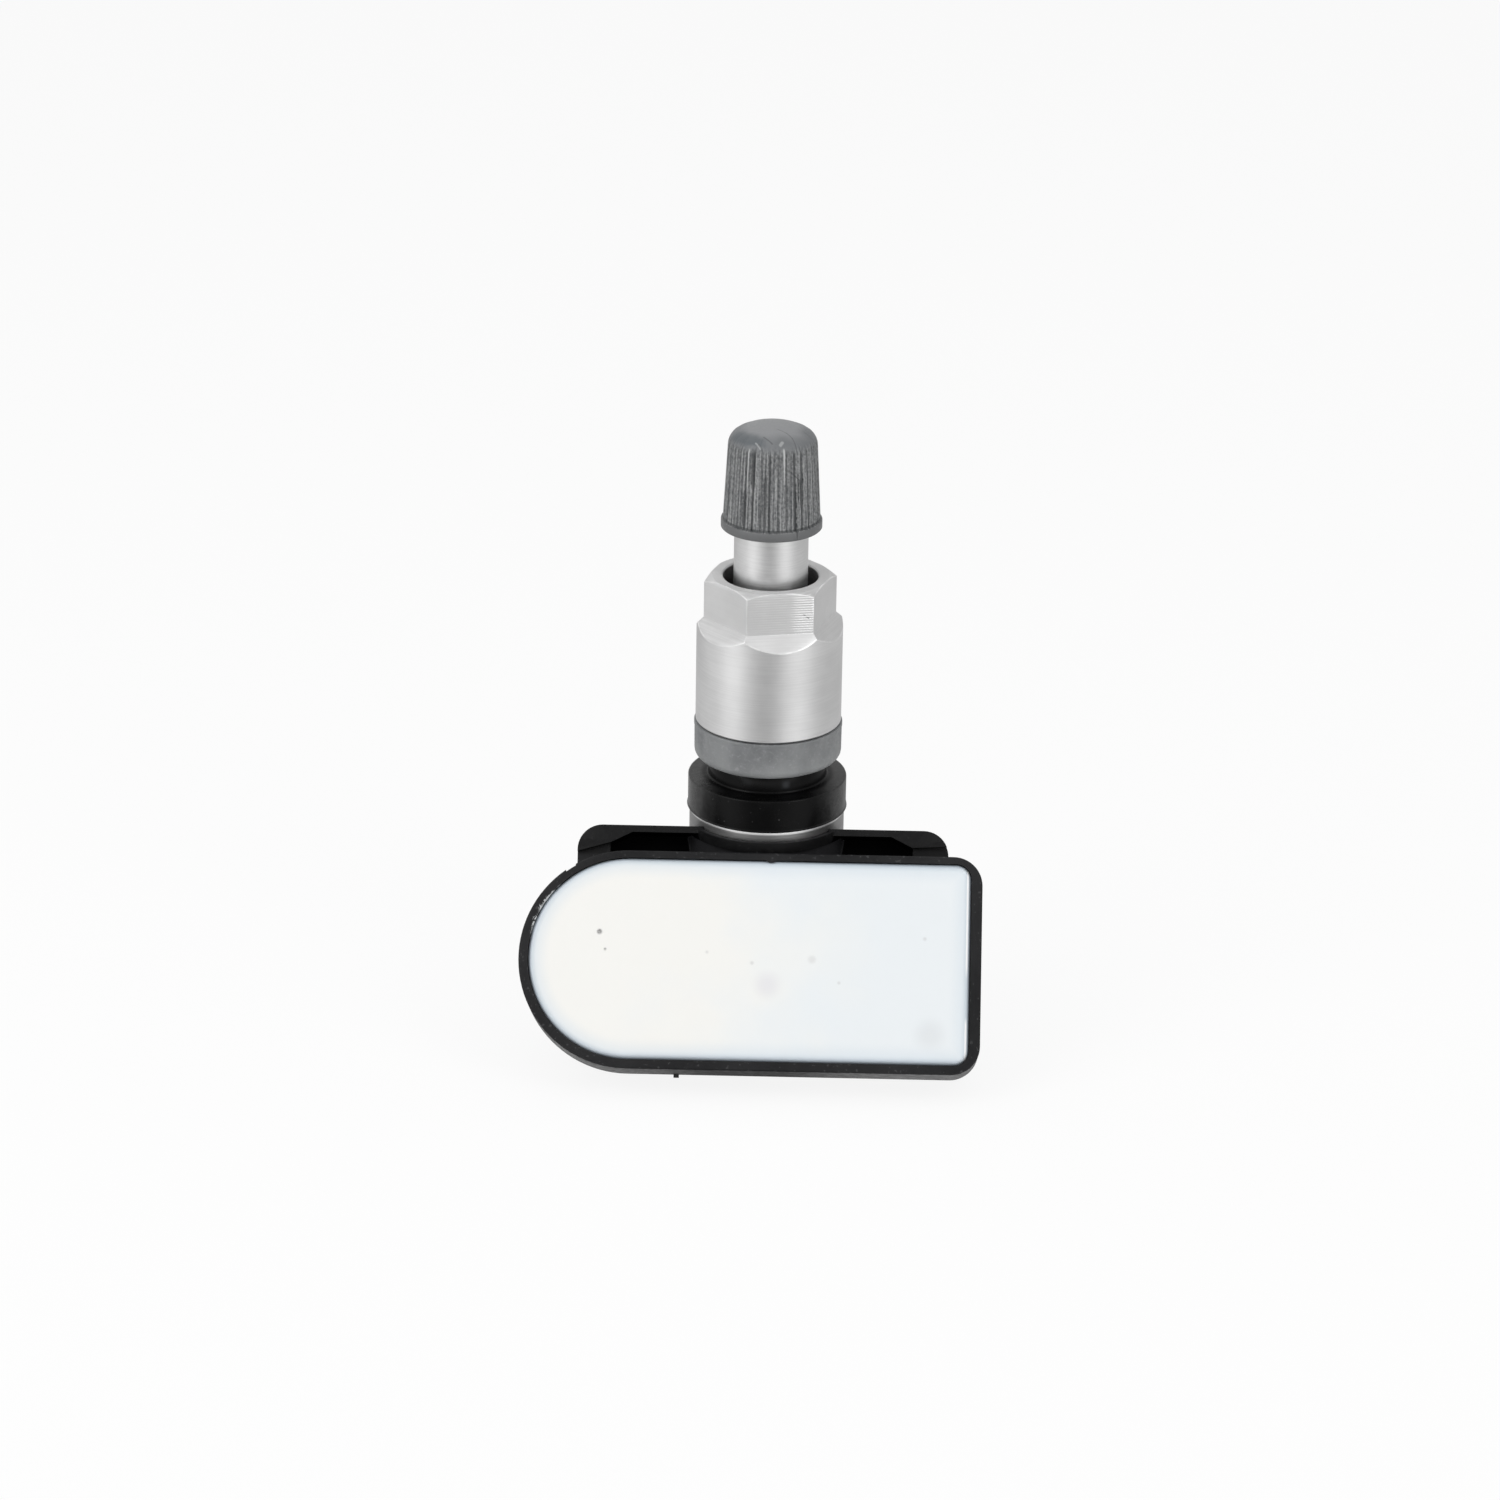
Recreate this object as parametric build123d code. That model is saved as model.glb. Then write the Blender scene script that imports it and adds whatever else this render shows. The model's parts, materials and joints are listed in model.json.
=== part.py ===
from build123d import *
import math
import os

# Tyre pressure sensor on a clamp-in valve, in millimetres.
# The stem axis is Z.
# The origin is the centre of the rubber flange's top face, where the wheel rim seats.
# The housing leans back from the stem.
# Its own axes are x (width), u (up its face) and n (out of its face).

# Clearances
slide_gap = 0.05
thread_gap = 0.05
seam_gap = 0.06
stop_gap = 0.2

# Rounded edges of turned pieces are made in a few straight steps
round_steps = 3

# Valve stem
stem_radius = 3.82
stem_height = 35.6
stem_end_chamfer = 0.5
valve_thread_cover = 0.25
valve_thread_depth = 0.1
nut_thread_step = 0.78
nut_thread_length = 8.0
air_radius = 1.25
foot_radius = 8.05
foot_height = 3.0
foot_edge = 0.25

# Rubber grommet
flange_height = 3.5
flange_overhang = 0.18
flange_lip = 0.09
flange_lip_height = 0.3
flange_edge = 0.12
neck_radius = 6.13
neck_step = 0.22
rim_gap = 2.03
neck_grip_margin = 0.15

# Sliding washer
washer_web = 2.57
washer_cup = 1.45
washer_wall = 0.65
washer_proud = 0.13
washer_edge = 0.9

# Collar nut
hex_across_flats = 12.0
hex_height = 4.4
hex_turn = 10.6
flat_depth = 1.55
nut_collar_height = 9.9
nut_counterbore_gap = 1.09
nut_chamfer_angle = 30.0
nut_chamfer_start = 0.06
nut_edge = 0.2
nut_mouth = 0.15

# Dust cap
cap_skirt = 8.45
cap_wall = 1.08
cap_taper = 0.41
cap_lip_height = 1.05
cap_lip_proud = 0.2
cap_shoulder_height = 8.79
cap_height = 11.13
cap_shoulder_round = 1.65
cap_seal_height = 0.75
cap_roof_gap = 0.05
rib_count = 68
rib_depth = 0.12
rib_land = 0.4
rib_skin = 0.02

# Valve core
core_thread_radius = 2.55
core_thread_length = 4.6
core_recess = 0.9
core_slot_width = 1.3
core_slot_depth = 1.2
barrel_radius = 1.9
barrel_length = 5.1
barrel_floor = 1.6
spring_chamber_radius = 1.35
chamber_gap = 0.15
seat_height = 2.0
seal_height = 1.4
pin_radius = 0.5
pin_recess = 0.3
pin_collar_radius = 1.1
pin_collar_height = 0.4
cup_radius = 1.6
cup_height = 1.2
press_travel = 1.5
spring_wire = 0.3
spring_wire_sides = 6
spring_turns = 5
spring_length = 5.4

# Fixing screw
screw_radius = 1.95
screw_reach = 5.5
screw_bore_radius = 0.6
screw_head_radius = 2.75
screw_head_height = 2.2
screw_head_edge = 0.3
screw_hex_flats = 2.5
screw_hex_depth = 1.3
screw_hole_gap = 0.2
screw_recess_gap = 0.25

# Housing
lean = 30.0
wall = 0.95
top_wall = 0.75
right_wall = 1.12
floor_wall = 1.0
body_corner = 3.0
body_back_edge = 1.3
body_rim_edge = 0.12
body_shift = 1.34
body_foot_overlap = 0.445
front_margin = 0.3
inner_corner = 1.6
boss_wall = 0.6
boss_web = 2.5
boss_fence = 2.0
boss_ring_height = 1.1
boss_ring_proud = 0.3
boss_rear_inset = 0.6
seat_web = 0.7
boss_base_chamfer = 1.6
bracket_width = 38.4
bracket_shift = 0.25
bracket_depth = 4.0
bracket_drop = 0.5
bracket_corner = 2.6
bracket_back_wall = 0.8
bracket_top_wall = 0.7
bracket_left_wall = 3.45
bracket_right_wall = 3.75
left_ear_drop = 2.8
right_ear_drop = 1.6
ear_step = 0.6
relief_length = 1.0
relief_depth = 0.3
pocket_slant_width = 2.2
pocket_slant_height = 1.1
rib_bump_radius = 0.7
rib_bump_sink = 0.45
rib_bump_place = 0.65
post_radius = 1.0
post_inset = 2.2
port_radius = 0.75
snout_radius = 1.6
snout_height = 0.4
gate_width = 0.55
gate_height = 0.3
gate_place = 8.75

# Potting
potting_drop = 0.1
potting_edge = 0.6
potting_cover = 0.6

# Electronics
battery_radius = 10.0
battery_height = 3.2
battery_step = 1.0
battery_can_height = 2.5
battery_gap = 0.4
battery_lift = 0.6
board_length = 23.9
board_thickness = 1.0
board_gap = 0.4
board_battery_gap = 0.75
board_standoff = 2.4
board_corner = 1.0
tab_width = 3.0
tab_thickness = 0.2
tab_lap = 6.0
tab_foot = 2.2
chip_size = 7.0
gasket_height = 0.5
gasket_wall = 1.2
coil_length = 8.0
coil_width = 2.8
coil_height = 2.4
coil_flange = 0.9
coil_waist = 0.5
antenna_height = 1.8
antenna_thickness = 0.4
antenna_inset = 0.8
antenna_bend = 1.5
crystal_length = 3.2
crystal_width = 2.5
crystal_height = 0.8
crystal_corner = 0.4
chip_part_length = 1.6
chip_part_width = 0.8
capacitor_height = 0.8
resistor_height = 0.5
chip_part_pitch = 1.8
capacitor_count = 6
resistor_count = 5

# Levels along the stem
foot_top = -flange_height
foot_bottom = foot_top - foot_height
washer_bottom = rim_gap
nut_bottom = washer_bottom + washer_web
nut_shoulder = nut_bottom + washer_cup
nut_flat_start = nut_shoulder + nut_collar_height
nut_hex_bottom = nut_flat_start + flat_depth
nut_top = nut_hex_bottom + hex_height
thread_top = nut_bottom + nut_thread_length
cap_bottom = stem_height - cap_skirt
valve_thread_start = cap_bottom + valve_thread_cover
cap_roof = stem_height + cap_roof_gap + cap_seal_height
core_top = stem_height - core_recess
barrel_shoulder = core_top - core_thread_length
barrel_bottom = barrel_shoulder - barrel_length
chamber_floor = barrel_bottom + barrel_floor
cup_bottom = barrel_bottom - cup_height
spring_top = chamber_floor + spring_length
seat_top = barrel_shoulder - chamber_gap
seat_bottom = seat_top - seat_height
core_chamber_bottom = cup_bottom - press_travel - stop_gap
boss_bottom = foot_bottom - boss_web
fence_top = foot_bottom + boss_fence
screw_top = foot_bottom + screw_reach

# Radii about the stem
nut_thread_radius = stem_radius + nut_thread_step
nut_radius = hex_across_flats / 2 + flat_depth
spigot_radius = nut_radius + washer_proud - washer_wall - slide_gap
washer_radius = nut_radius + washer_proud
flange_radius = foot_radius + flange_overhang
neck_top_radius = neck_radius - neck_step
cap_bore = stem_radius + 2 * thread_gap
cap_radius = cap_bore + cap_wall
boss_bore = foot_radius + slide_gap
boss_radius = boss_bore + boss_wall
core_bore = core_thread_radius + thread_gap
chamber_radius = barrel_radius + chamber_gap

# Housing levels, from the centre of the foot's underside
lean_sin = math.sin(math.radians(lean))
lean_cos = math.cos(math.radians(lean))
cavity_radius = battery_radius + battery_gap
body_top = body_foot_overlap - foot_radius * lean_sin
cavity_top = body_top - top_wall
cavity_bottom = cavity_top - 2 * cavity_radius
body_bottom = cavity_bottom - wall
body_middle = (cavity_top + cavity_bottom) / 2
cavity_length = 2 * battery_radius + battery_gap + board_battery_gap + board_length + board_gap
body_length = cavity_length + wall + right_wall
body_left = -body_shift - body_length / 2
body_right = body_left + body_length
cavity_left = body_left + wall
cavity_right = body_right - right_wall
tallest_part = max(coil_height, antenna_height)
cavity_depth = board_standoff + board_thickness + tallest_part + potting_cover + potting_drop
body_front = boss_radius * lean_cos + boss_fence * lean_sin + front_margin
cavity_floor = body_front - cavity_depth
body_back = cavity_floor - floor_wall
bracket_top = -bracket_drop
bracket_left = -bracket_shift - bracket_width / 2
bracket_right = bracket_left + bracket_width
bracket_front = body_back + bracket_depth
potting_top = body_front - potting_drop
battery_x = cavity_left + cavity_radius
battery_bottom = cavity_floor + battery_lift
battery_top = battery_bottom + battery_height
board_left = battery_x + battery_radius + board_battery_gap
board_right = board_left + board_length
board_x = (board_left + board_right) / 2
board_top = cavity_top - board_gap
board_bottom = cavity_bottom + board_gap
board_back = cavity_floor + board_standoff
board_face = board_back + board_thickness

house_plane = Plane(origin=(0, 0, foot_bottom), x_dir=(1, 0, 0), z_dir=(0, -lean_cos, lean_sin))
house = house_plane.location


def disc(radius, low, high):
    return Pos(0, 0, (low + high) / 2) * Cylinder(radius, high - low)


def ring(outer, inner, low, high):
    return disc(outer, low, high) - disc(inner, low, high)


def block(x_range, u_range, n_range):
    middle = [(low + high) / 2 for low, high in (x_range, u_range, n_range)]
    size = [high - low for low, high in (x_range, u_range, n_range)]
    return Pos(*middle) * Box(*size)


def turned(points):
    # A solid of revolution about the stem axis, from its half section as radius and height
    section = Polyline([(radius, 0, height) for radius, height in points], close=True)
    return revolve(make_face(section), Axis.Z)


def d_outline(left, right, bottom, top, corner):
    # Round at the left end, square with small corners at the right end
    radius = (top - bottom) / 2
    middle = (top + bottom) / 2
    straight = right - left - radius
    square = Pos(left + radius + straight / 2, middle) * Rectangle(straight, top - bottom)
    outline = square + Pos(left + radius, middle) * Circle(radius)
    corners = outline.vertices().sort_by(Axis.X)[-2:]
    return fillet(corners, corner)


def prism(outline, low, high):
    return Pos(0, 0, low) * extrude(outline, high - low)


def rounded_edge(centre, size, start, stop):
    points = []
    for step in range(round_steps + 1):
        angle = math.radians(start + (stop - start) * step / round_steps)
        points.append((centre[0] + size * math.cos(angle), centre[1] + size * math.sin(angle)))
    return points


def make_stem():
    thread_core = stem_radius - valve_thread_depth
    body = turned([
        (0, foot_bottom),
        (foot_radius - foot_edge, foot_bottom),
        (foot_radius, foot_bottom + foot_edge),
        (foot_radius, foot_top - foot_edge),
        (foot_radius - foot_edge, foot_top),
        (nut_thread_radius, foot_top),
        (nut_thread_radius, thread_top - nut_thread_step),
        (stem_radius, thread_top),
        (stem_radius, valve_thread_start),
        (thread_core, valve_thread_start + valve_thread_depth),
        (thread_core, stem_height - stem_end_chamfer),
        (thread_core - stem_end_chamfer, stem_height),
        (0, stem_height),
    ])
    passage = turned([
        (0, foot_bottom),
        (screw_radius + thread_gap, foot_bottom),
        (screw_radius + thread_gap, screw_top + stop_gap),
        (air_radius, screw_top + stop_gap + screw_radius - air_radius),
        (air_radius, core_chamber_bottom - chamber_radius + air_radius),
        (chamber_radius, core_chamber_bottom),
        (chamber_radius, seat_bottom),
        (core_bore, seat_top),
        (core_bore, stem_height),
        (0, stem_height),
    ])
    return body - passage


def make_grommet():
    return turned([
        (nut_thread_radius + slide_gap, foot_top),
        (flange_radius + flange_lip, foot_top),
        (flange_radius, foot_top + flange_lip_height),
        (flange_radius, -flange_edge),
        (flange_radius - flange_edge, 0),
        (neck_radius, 0),
        (neck_radius, washer_bottom - neck_grip_margin),
        (neck_top_radius, washer_bottom - neck_grip_margin),
        (neck_top_radius, nut_bottom),
        (nut_thread_radius + slide_gap, nut_bottom),
    ])


def make_washer():
    edge_centre = (washer_radius - washer_edge, washer_bottom + washer_edge)
    return turned([
        (neck_top_radius + slide_gap, washer_bottom),
        *rounded_edge(edge_centre, washer_edge, -90, 0),
        (washer_radius, nut_shoulder - seam_gap),
        (spigot_radius + slide_gap, nut_shoulder - seam_gap),
        (spigot_radius + slide_gap, nut_bottom),
        (neck_top_radius + slide_gap, nut_bottom),
    ])


def make_nut():
    chamfer_radius = hex_across_flats / 2 + nut_chamfer_start
    chamfer_drop = (nut_radius - chamfer_radius) * math.tan(math.radians(nut_chamfer_angle))
    blank = turned([
        (0, nut_bottom),
        (spigot_radius, nut_bottom),
        (spigot_radius, nut_shoulder),
        (nut_radius - nut_edge, nut_shoulder),
        (nut_radius, nut_shoulder + nut_edge),
        (nut_radius, nut_top - chamfer_drop),
        (chamfer_radius, nut_top),
        (0, nut_top),
    ])
    # Each flat runs out of the collar in a slope at 45 degrees
    flat = hex_across_flats / 2
    far = nut_radius + flat_depth
    section = Polyline([
        (0, -flat, nut_top + flat_depth),
        (0, -flat, nut_hex_bottom),
        (0, -far, nut_hex_bottom - far + flat),
        (0, -far, nut_top + flat_depth),
    ], close=True)
    cutter = extrude(make_face(section), nut_radius, dir=(1, 0, 0), both=True)
    flats = [Rot(0, 0, hex_turn + 60 * side) * cutter for side in range(6)]
    mouth_radius = stem_radius + nut_counterbore_gap
    bore = turned([
        (0, nut_bottom),
        (nut_thread_radius + thread_gap, nut_bottom),
        (nut_thread_radius + thread_gap, thread_top),
        (mouth_radius, thread_top + mouth_radius - nut_thread_radius),
        (mouth_radius, nut_top - nut_mouth),
        (mouth_radius + nut_mouth, nut_top),
        (0, nut_top),
    ])
    return blank - flats - bore


def rib_ring(radius, level):
    # A flat land and a V-shaped groove for each rib
    points = []
    for rib in range(rib_count):
        for reach, turn in ((radius, 0), (radius, rib_land), (radius - rib_depth, (1 + rib_land) / 2)):
            angle = 2 * math.pi * (rib + turn) / rib_count
            points.append((reach * math.cos(angle), reach * math.sin(angle)))
    return Pos(0, 0, level) * make_face(Polyline(points, close=True))


def make_cap():
    shoulder_z = cap_bottom + cap_shoulder_height
    apex_z = cap_bottom + cap_height
    lip_top = cap_bottom + cap_lip_height
    lip_radius = cap_radius + cap_lip_proud
    shoulder_radius = cap_radius - cap_taper
    # The dome is a part of a sphere that runs smoothly into the rounded shoulder
    centre = shoulder_radius - cap_shoulder_round
    drop = apex_z - shoulder_z
    dome_radius = (centre ** 2 + drop ** 2 - cap_shoulder_round ** 2) / (2 * (drop - cap_shoulder_round))
    dome_start = math.degrees(math.atan2(dome_radius - drop, centre))
    shoulder = rounded_edge((centre, shoulder_z), cap_shoulder_round + rib_skin, 0, dome_start)
    skin = turned([
        (0, cap_bottom),
        (lip_radius, cap_bottom),
        (lip_radius, lip_top - cap_lip_proud),
        (cap_radius + rib_skin, lip_top),
        *shoulder,
        (shoulder[-1][0], apex_z),
        (0, apex_z),
    ])
    cap = skin & Pos(0, 0, apex_z - dome_radius) * Sphere(dome_radius)
    # The ribs taper with the skirt and run out in the dome, and the lip below them is plain
    rise = shoulder_z - lip_top
    top_radius = cap_radius - cap_taper * (apex_z - lip_top) / rise
    ribs = loft([rib_ring(cap_radius, lip_top), rib_ring(top_radius, apex_z)], ruled=True)
    lip = disc(lip_radius + rib_skin, cap_bottom, lip_top)
    return cap & (ribs + lip) - disc(cap_bore, cap_bottom, cap_roof)


def make_cap_seal():
    return disc(cap_bore - slide_gap, cap_roof - cap_seal_height, cap_roof)


def make_core_barrel():
    outside = disc(core_thread_radius, barrel_shoulder, core_top)
    outside += disc(barrel_radius, barrel_bottom, barrel_shoulder)
    bore = disc(spring_chamber_radius, chamber_floor, core_top)
    bore += disc(pin_radius + chamber_gap, barrel_bottom, chamber_floor)
    slot = Pos(0, 0, core_top) * Box(2 * core_bore, core_slot_width, 2 * core_slot_depth)
    return outside - bore - slot


def make_core_seal():
    # A tapered ring that stands in the stem's conical seat
    slope = (core_bore - chamber_radius) / seat_height
    low = seat_top - seal_height
    return turned([
        (barrel_radius + slide_gap / 2, low),
        (core_bore - slope * seal_height - slide_gap, low),
        (core_bore - slide_gap, seat_top),
        (barrel_radius + slide_gap / 2, seat_top),
    ])


def make_core_pin():
    rod = disc(pin_radius, cup_bottom, stem_height - pin_recess)
    return rod + disc(pin_collar_radius, spring_top, spring_top + pin_collar_height)


def make_core_cup():
    return ring(cup_radius, pin_radius + slide_gap / 5, cup_bottom, barrel_bottom)


def make_core_spring():
    wire_radius = spring_wire / 2
    coil_radius = (pin_radius + spring_chamber_radius) / 2
    height = spring_length - spring_wire - 2 * slide_gap
    path = Helix(height / spring_turns, height, coil_radius)
    wire = Plane(origin=path @ 0, z_dir=path % 0) * RegularPolygon(wire_radius, spring_wire_sides)
    coil = sweep(wire, path=path, is_frenet=True)
    return Pos(0, 0, chamber_floor + wire_radius + slide_gap) * coil


def make_screw():
    head_bottom = boss_bottom - screw_head_height
    screw = turned([
        (0, head_bottom),
        (screw_head_radius - screw_head_edge, head_bottom),
        (screw_head_radius, head_bottom + screw_head_edge),
        (screw_head_radius, boss_bottom),
        (screw_radius, boss_bottom),
        (screw_radius, screw_top - screw_head_edge),
        (screw_radius - screw_head_edge, screw_top),
        (0, screw_top),
    ])
    socket = extrude(RegularPolygon(screw_hex_flats / 2, 6, major_radius=False), screw_hex_depth)
    return screw - Pos(0, 0, head_bottom) * socket - disc(screw_bore_radius, head_bottom, screw_top)


def board_posts():
    posts = []
    for x in (board_left + post_inset, board_right - post_inset):
        for u in (board_bottom + post_inset, board_top - post_inset):
            posts.append(Pos(x, u) * disc(post_radius, cavity_floor, board_back))
    return posts


def cavity_bump(high):
    # A small moulded half-round rib on the inside of the top wall
    place = Pos(rib_bump_place, cavity_top + rib_bump_sink)
    return place * disc(rib_bump_radius, cavity_floor, high)


def seat_pad():
    # The floor under the foot, which stands a little way into the hollow
    return disc(boss_radius - boss_ring_proud, foot_bottom - seat_web, foot_bottom)


def cavity_outline():
    return d_outline(cavity_left, cavity_right, cavity_bottom, cavity_top, inner_corner)


def make_housing():
    outline = d_outline(body_left, body_right, body_bottom, body_top, body_corner)
    body = prism(outline, body_back, body_front)
    body = chamfer(body.faces().sort_by(Axis.Z)[0].edges(), body_back_edge)
    body = chamfer(body.faces().sort_by(Axis.Z)[-1].edges(), body_rim_edge)
    # Beside the left wing the round wall is thinner
    relief_x = (bracket_left - relief_length, bracket_left)
    relief = block(relief_x, (body_middle, bracket_top), (body_back, body_front))
    thin_wall = disc(cavity_radius + wall - relief_depth, body_back, body_front)
    body -= relief - Pos(battery_x, body_middle) * thin_wall
    # The bracket stands on the body's top wall, with a pocket open to the front each side of the boss
    root = body_top - bracket_depth
    plate_height = bracket_top - root
    plate_x = (bracket_left + bracket_right) / 2
    plate = Pos(plate_x, root + plate_height / 2) * Rectangle(bracket_width, plate_height)
    plate = fillet(plate.vertices().sort_by(Axis.Y)[-2:], bracket_corner)
    bracket = prism(plate, body_back, bracket_front)
    pocket_top = bracket_top - bracket_top_wall
    corner_u = pocket_top - pocket_slant_height
    wings = (
        (bracket_left, bracket_left_wall, pocket_slant_width, left_ear_drop),
        (bracket_right, -bracket_right_wall, -pocket_slant_width, right_ear_drop),
    )
    for outer, end_wall, slant, ear_drop in wings:
        end = outer + end_wall
        pocket = make_face(Polyline([
            (0, body_top),
            (end, body_top),
            (end, corner_u),
            (end + slant, pocket_top),
            (0, pocket_top),
        ], close=True))
        bracket -= prism(pocket, body_back + bracket_back_wall, bracket_front)
        # Below each wing's ear the front face steps back
        step = make_face(Polyline([
            (outer, root),
            (outer, bracket_top - ear_drop),
            (end, corner_u),
            (end, root),
        ], close=True))
        bracket -= prism(step, bracket_front - ear_step, bracket_front)
    gate_n = body_back + body_back_edge
    gate = Pos(-gate_place, body_bottom, gate_n) * Box(gate_width, 2 * gate_height, gate_width)
    # The boss is round about the stem: a fence with a raised ring before the foot, a plain pad behind it
    reach = bracket_width
    front_zone = block((-reach, reach), (-reach, bracket_top), (body_back, body_front))
    front_boss = disc(boss_radius - boss_ring_proud, boss_bottom, fence_top)
    front_boss += disc(boss_radius, fence_top - boss_ring_height, fence_top)
    rear_boss = disc(foot_radius - boss_rear_inset, boss_bottom, foot_bottom)
    rear_edge = rear_boss.edges().filter_by(GeomType.CIRCLE).sort_by(Axis.Z)[0]
    rear_boss = chamfer(rear_edge, boss_base_chamfer)
    shell = house * (body + bracket + gate) + (front_boss & house * front_zone) + rear_boss
    hollow = prism(cavity_outline(), cavity_floor, body_front)
    hollow = hollow - board_posts() - cavity_bump(body_front)
    shell -= house * hollow - seat_pad()
    shell -= disc(boss_bore, foot_bottom, 0)
    shell -= disc(screw_radius + screw_hole_gap, boss_bottom, foot_bottom)
    shell -= disc(screw_head_radius + screw_recess_gap, boss_bottom - 2 * screw_head_height, boss_bottom)
    snout = Pos(board_x, body_middle) * disc(snout_radius, body_back - snout_height, body_back)
    port = Pos(board_x, body_middle) * disc(port_radius, body_back - snout_height, cavity_floor)
    return shell + house * snout - house * port


def make_battery():
    can = disc(battery_radius, battery_top - battery_can_height, battery_top)
    lid = disc(battery_radius - battery_step, battery_bottom, battery_top - battery_can_height)
    return Pos(battery_x, body_middle) * (can + lid)


def make_board():
    outline = Pos(board_x, body_middle) * Rectangle(board_length, board_top - board_bottom)
    outline = fillet(outline.vertices(), board_corner)
    return prism(outline, board_back, board_face)


def bent_tab(cell_face, pad_face, outward):
    # A strip that lies on the cell, steps to the board and lies on its pad
    riser = battery_x + battery_radius + (board_battery_gap - tab_thickness) / 2
    start = battery_x + battery_radius - tab_lap
    end = board_left + tab_foot
    cell_skin = cell_face + outward * tab_thickness
    pad_skin = pad_face + outward * tab_thickness
    lap = block((start, riser + tab_thickness), (0, tab_width), sorted((cell_face, cell_skin)))
    step = block((riser, riser + tab_thickness), (0, tab_width), sorted((cell_skin, pad_face)))
    pad = block((riser, end), (0, tab_width), sorted((pad_face, pad_skin)))
    return Pos(0, body_middle - tab_width / 2) * (lap + step + pad)


def make_chip():
    half = chip_size / 2
    chip = block((-half, half), (-half, half), (cavity_floor + gasket_height, board_back))
    return Pos(board_x, body_middle) * chip


def make_gasket():
    return Pos(board_x, body_middle) * ring(
        port_radius + gasket_wall, port_radius, cavity_floor, cavity_floor + gasket_height)


def coil_place():
    return Pos(board_x - coil_length / 4, (body_middle + board_top) / 2, board_face)


def make_coil_core():
    bar = Pos(0, 0, coil_height / 2) * Box(coil_length, coil_width, coil_height)
    return coil_place() * (bar - coil_sleeve())


def coil_sleeve():
    waist_length = coil_length - 2 * coil_flange
    outside = Pos(0, 0, coil_height / 2) * Box(waist_length, coil_width, coil_height)
    inside = Pos(0, 0, coil_height / 2) * Box(
        waist_length, coil_width - 2 * coil_waist, coil_height - 2 * coil_waist)
    return outside - inside


def make_antenna():
    # A strip on edge that follows two sides of the board
    left = board_left + antenna_inset
    right = board_right - antenna_inset
    top = board_top - antenna_inset
    low = board_bottom + antenna_inset
    outer = fillet(
        (Pos((left + right) / 2, (top + low) / 2) * Rectangle(right - left, top - low))
        .vertices().group_by(Axis.X)[-1].sort_by(Axis.Y)[-1:], antenna_bend)
    inner = Pos(-antenna_thickness, -antenna_thickness) * outer
    return prism(outer, board_face, board_face + antenna_height) - prism(
        inner, board_face, board_face + antenna_height)


def make_crystal():
    can = Box(crystal_length, crystal_width, crystal_height)
    can = fillet(can.edges().filter_by(Axis.Z), crystal_corner)
    place_u = (body_middle + board_bottom) / 2
    return Pos(board_x + crystal_length, place_u, board_face + crystal_height / 2) * can


def chip_row(count, height, place_x, place_u):
    row = []
    for number in range(count):
        part = Box(chip_part_length, chip_part_width, height)
        row.append(Pos(place_x, place_u - number * chip_part_pitch, board_face + height / 2) * part)
    return row


def make_potting(pieces):
    fill = prism(cavity_outline(), cavity_floor, potting_top)
    fill = chamfer(fill.faces().sort_by(Axis.Z)[-1].edges(), potting_edge)
    fill = fill - board_posts() - cavity_bump(potting_top) - pieces
    return house * fill - seat_pad()


def main():
    electronics = {
        "battery_cell": make_battery(),
        "circuit_board": make_board(),
        "battery_tab_positive": bent_tab(battery_top, board_face, 1),
        "battery_tab_negative": bent_tab(battery_bottom, board_back, -1),
        "sensor_chip": make_chip(),
        "port_gasket": make_gasket(),
        "coil_core": make_coil_core(),
        "coil_winding": coil_place() * coil_sleeve(),
        "antenna_strip": make_antenna(),
        "crystal": make_crystal(),
    }
    capacitor_x = board_left + 2 * tab_foot + chip_part_length
    resistor_x = board_x + chip_part_length / 2
    resistor_u = body_middle - chip_part_pitch
    groups = {
        "capacitors": chip_row(capacitor_count, capacitor_height, capacitor_x, body_middle),
        "resistors": chip_row(resistor_count, resistor_height, resistor_x, resistor_u),
    }
    buried = list(electronics.values()) + groups["capacitors"] + groups["resistors"]
    port_shaft = disc(port_radius, cavity_floor, cavity_floor + gasket_height)
    port_shaft = Pos(board_x, body_middle) * port_shaft
    nodes = {
        "valve_stem": make_stem(),
        "rubber_grommet": make_grommet(),
        "nut_washer": make_washer(),
        "collar_nut": make_nut(),
        "valve_cap": make_cap(),
        "cap_seal": make_cap_seal(),
        "core_barrel": make_core_barrel(),
        "core_seal": make_core_seal(),
        "core_pin": make_core_pin(),
        "core_cup": make_core_cup(),
        "core_spring": make_core_spring(),
        "fixing_screw": make_screw(),
        "housing": make_housing(),
        "potting": make_potting(buried + [port_shaft]),
    }
    for name, shape in electronics.items():
        nodes[name] = house * shape
    for name, row in groups.items():
        nodes[name] = Compound([house * part for part in row])
    os.makedirs("parts", exist_ok=True)
    for name, shape in nodes.items():
        export_step(shape, f"parts/{name}.step")
        print(name, round(shape.volume, 3))


main()
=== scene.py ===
import bpy
import bmesh
import json
import math
import random
from mathutils import Matrix, Vector


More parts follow.
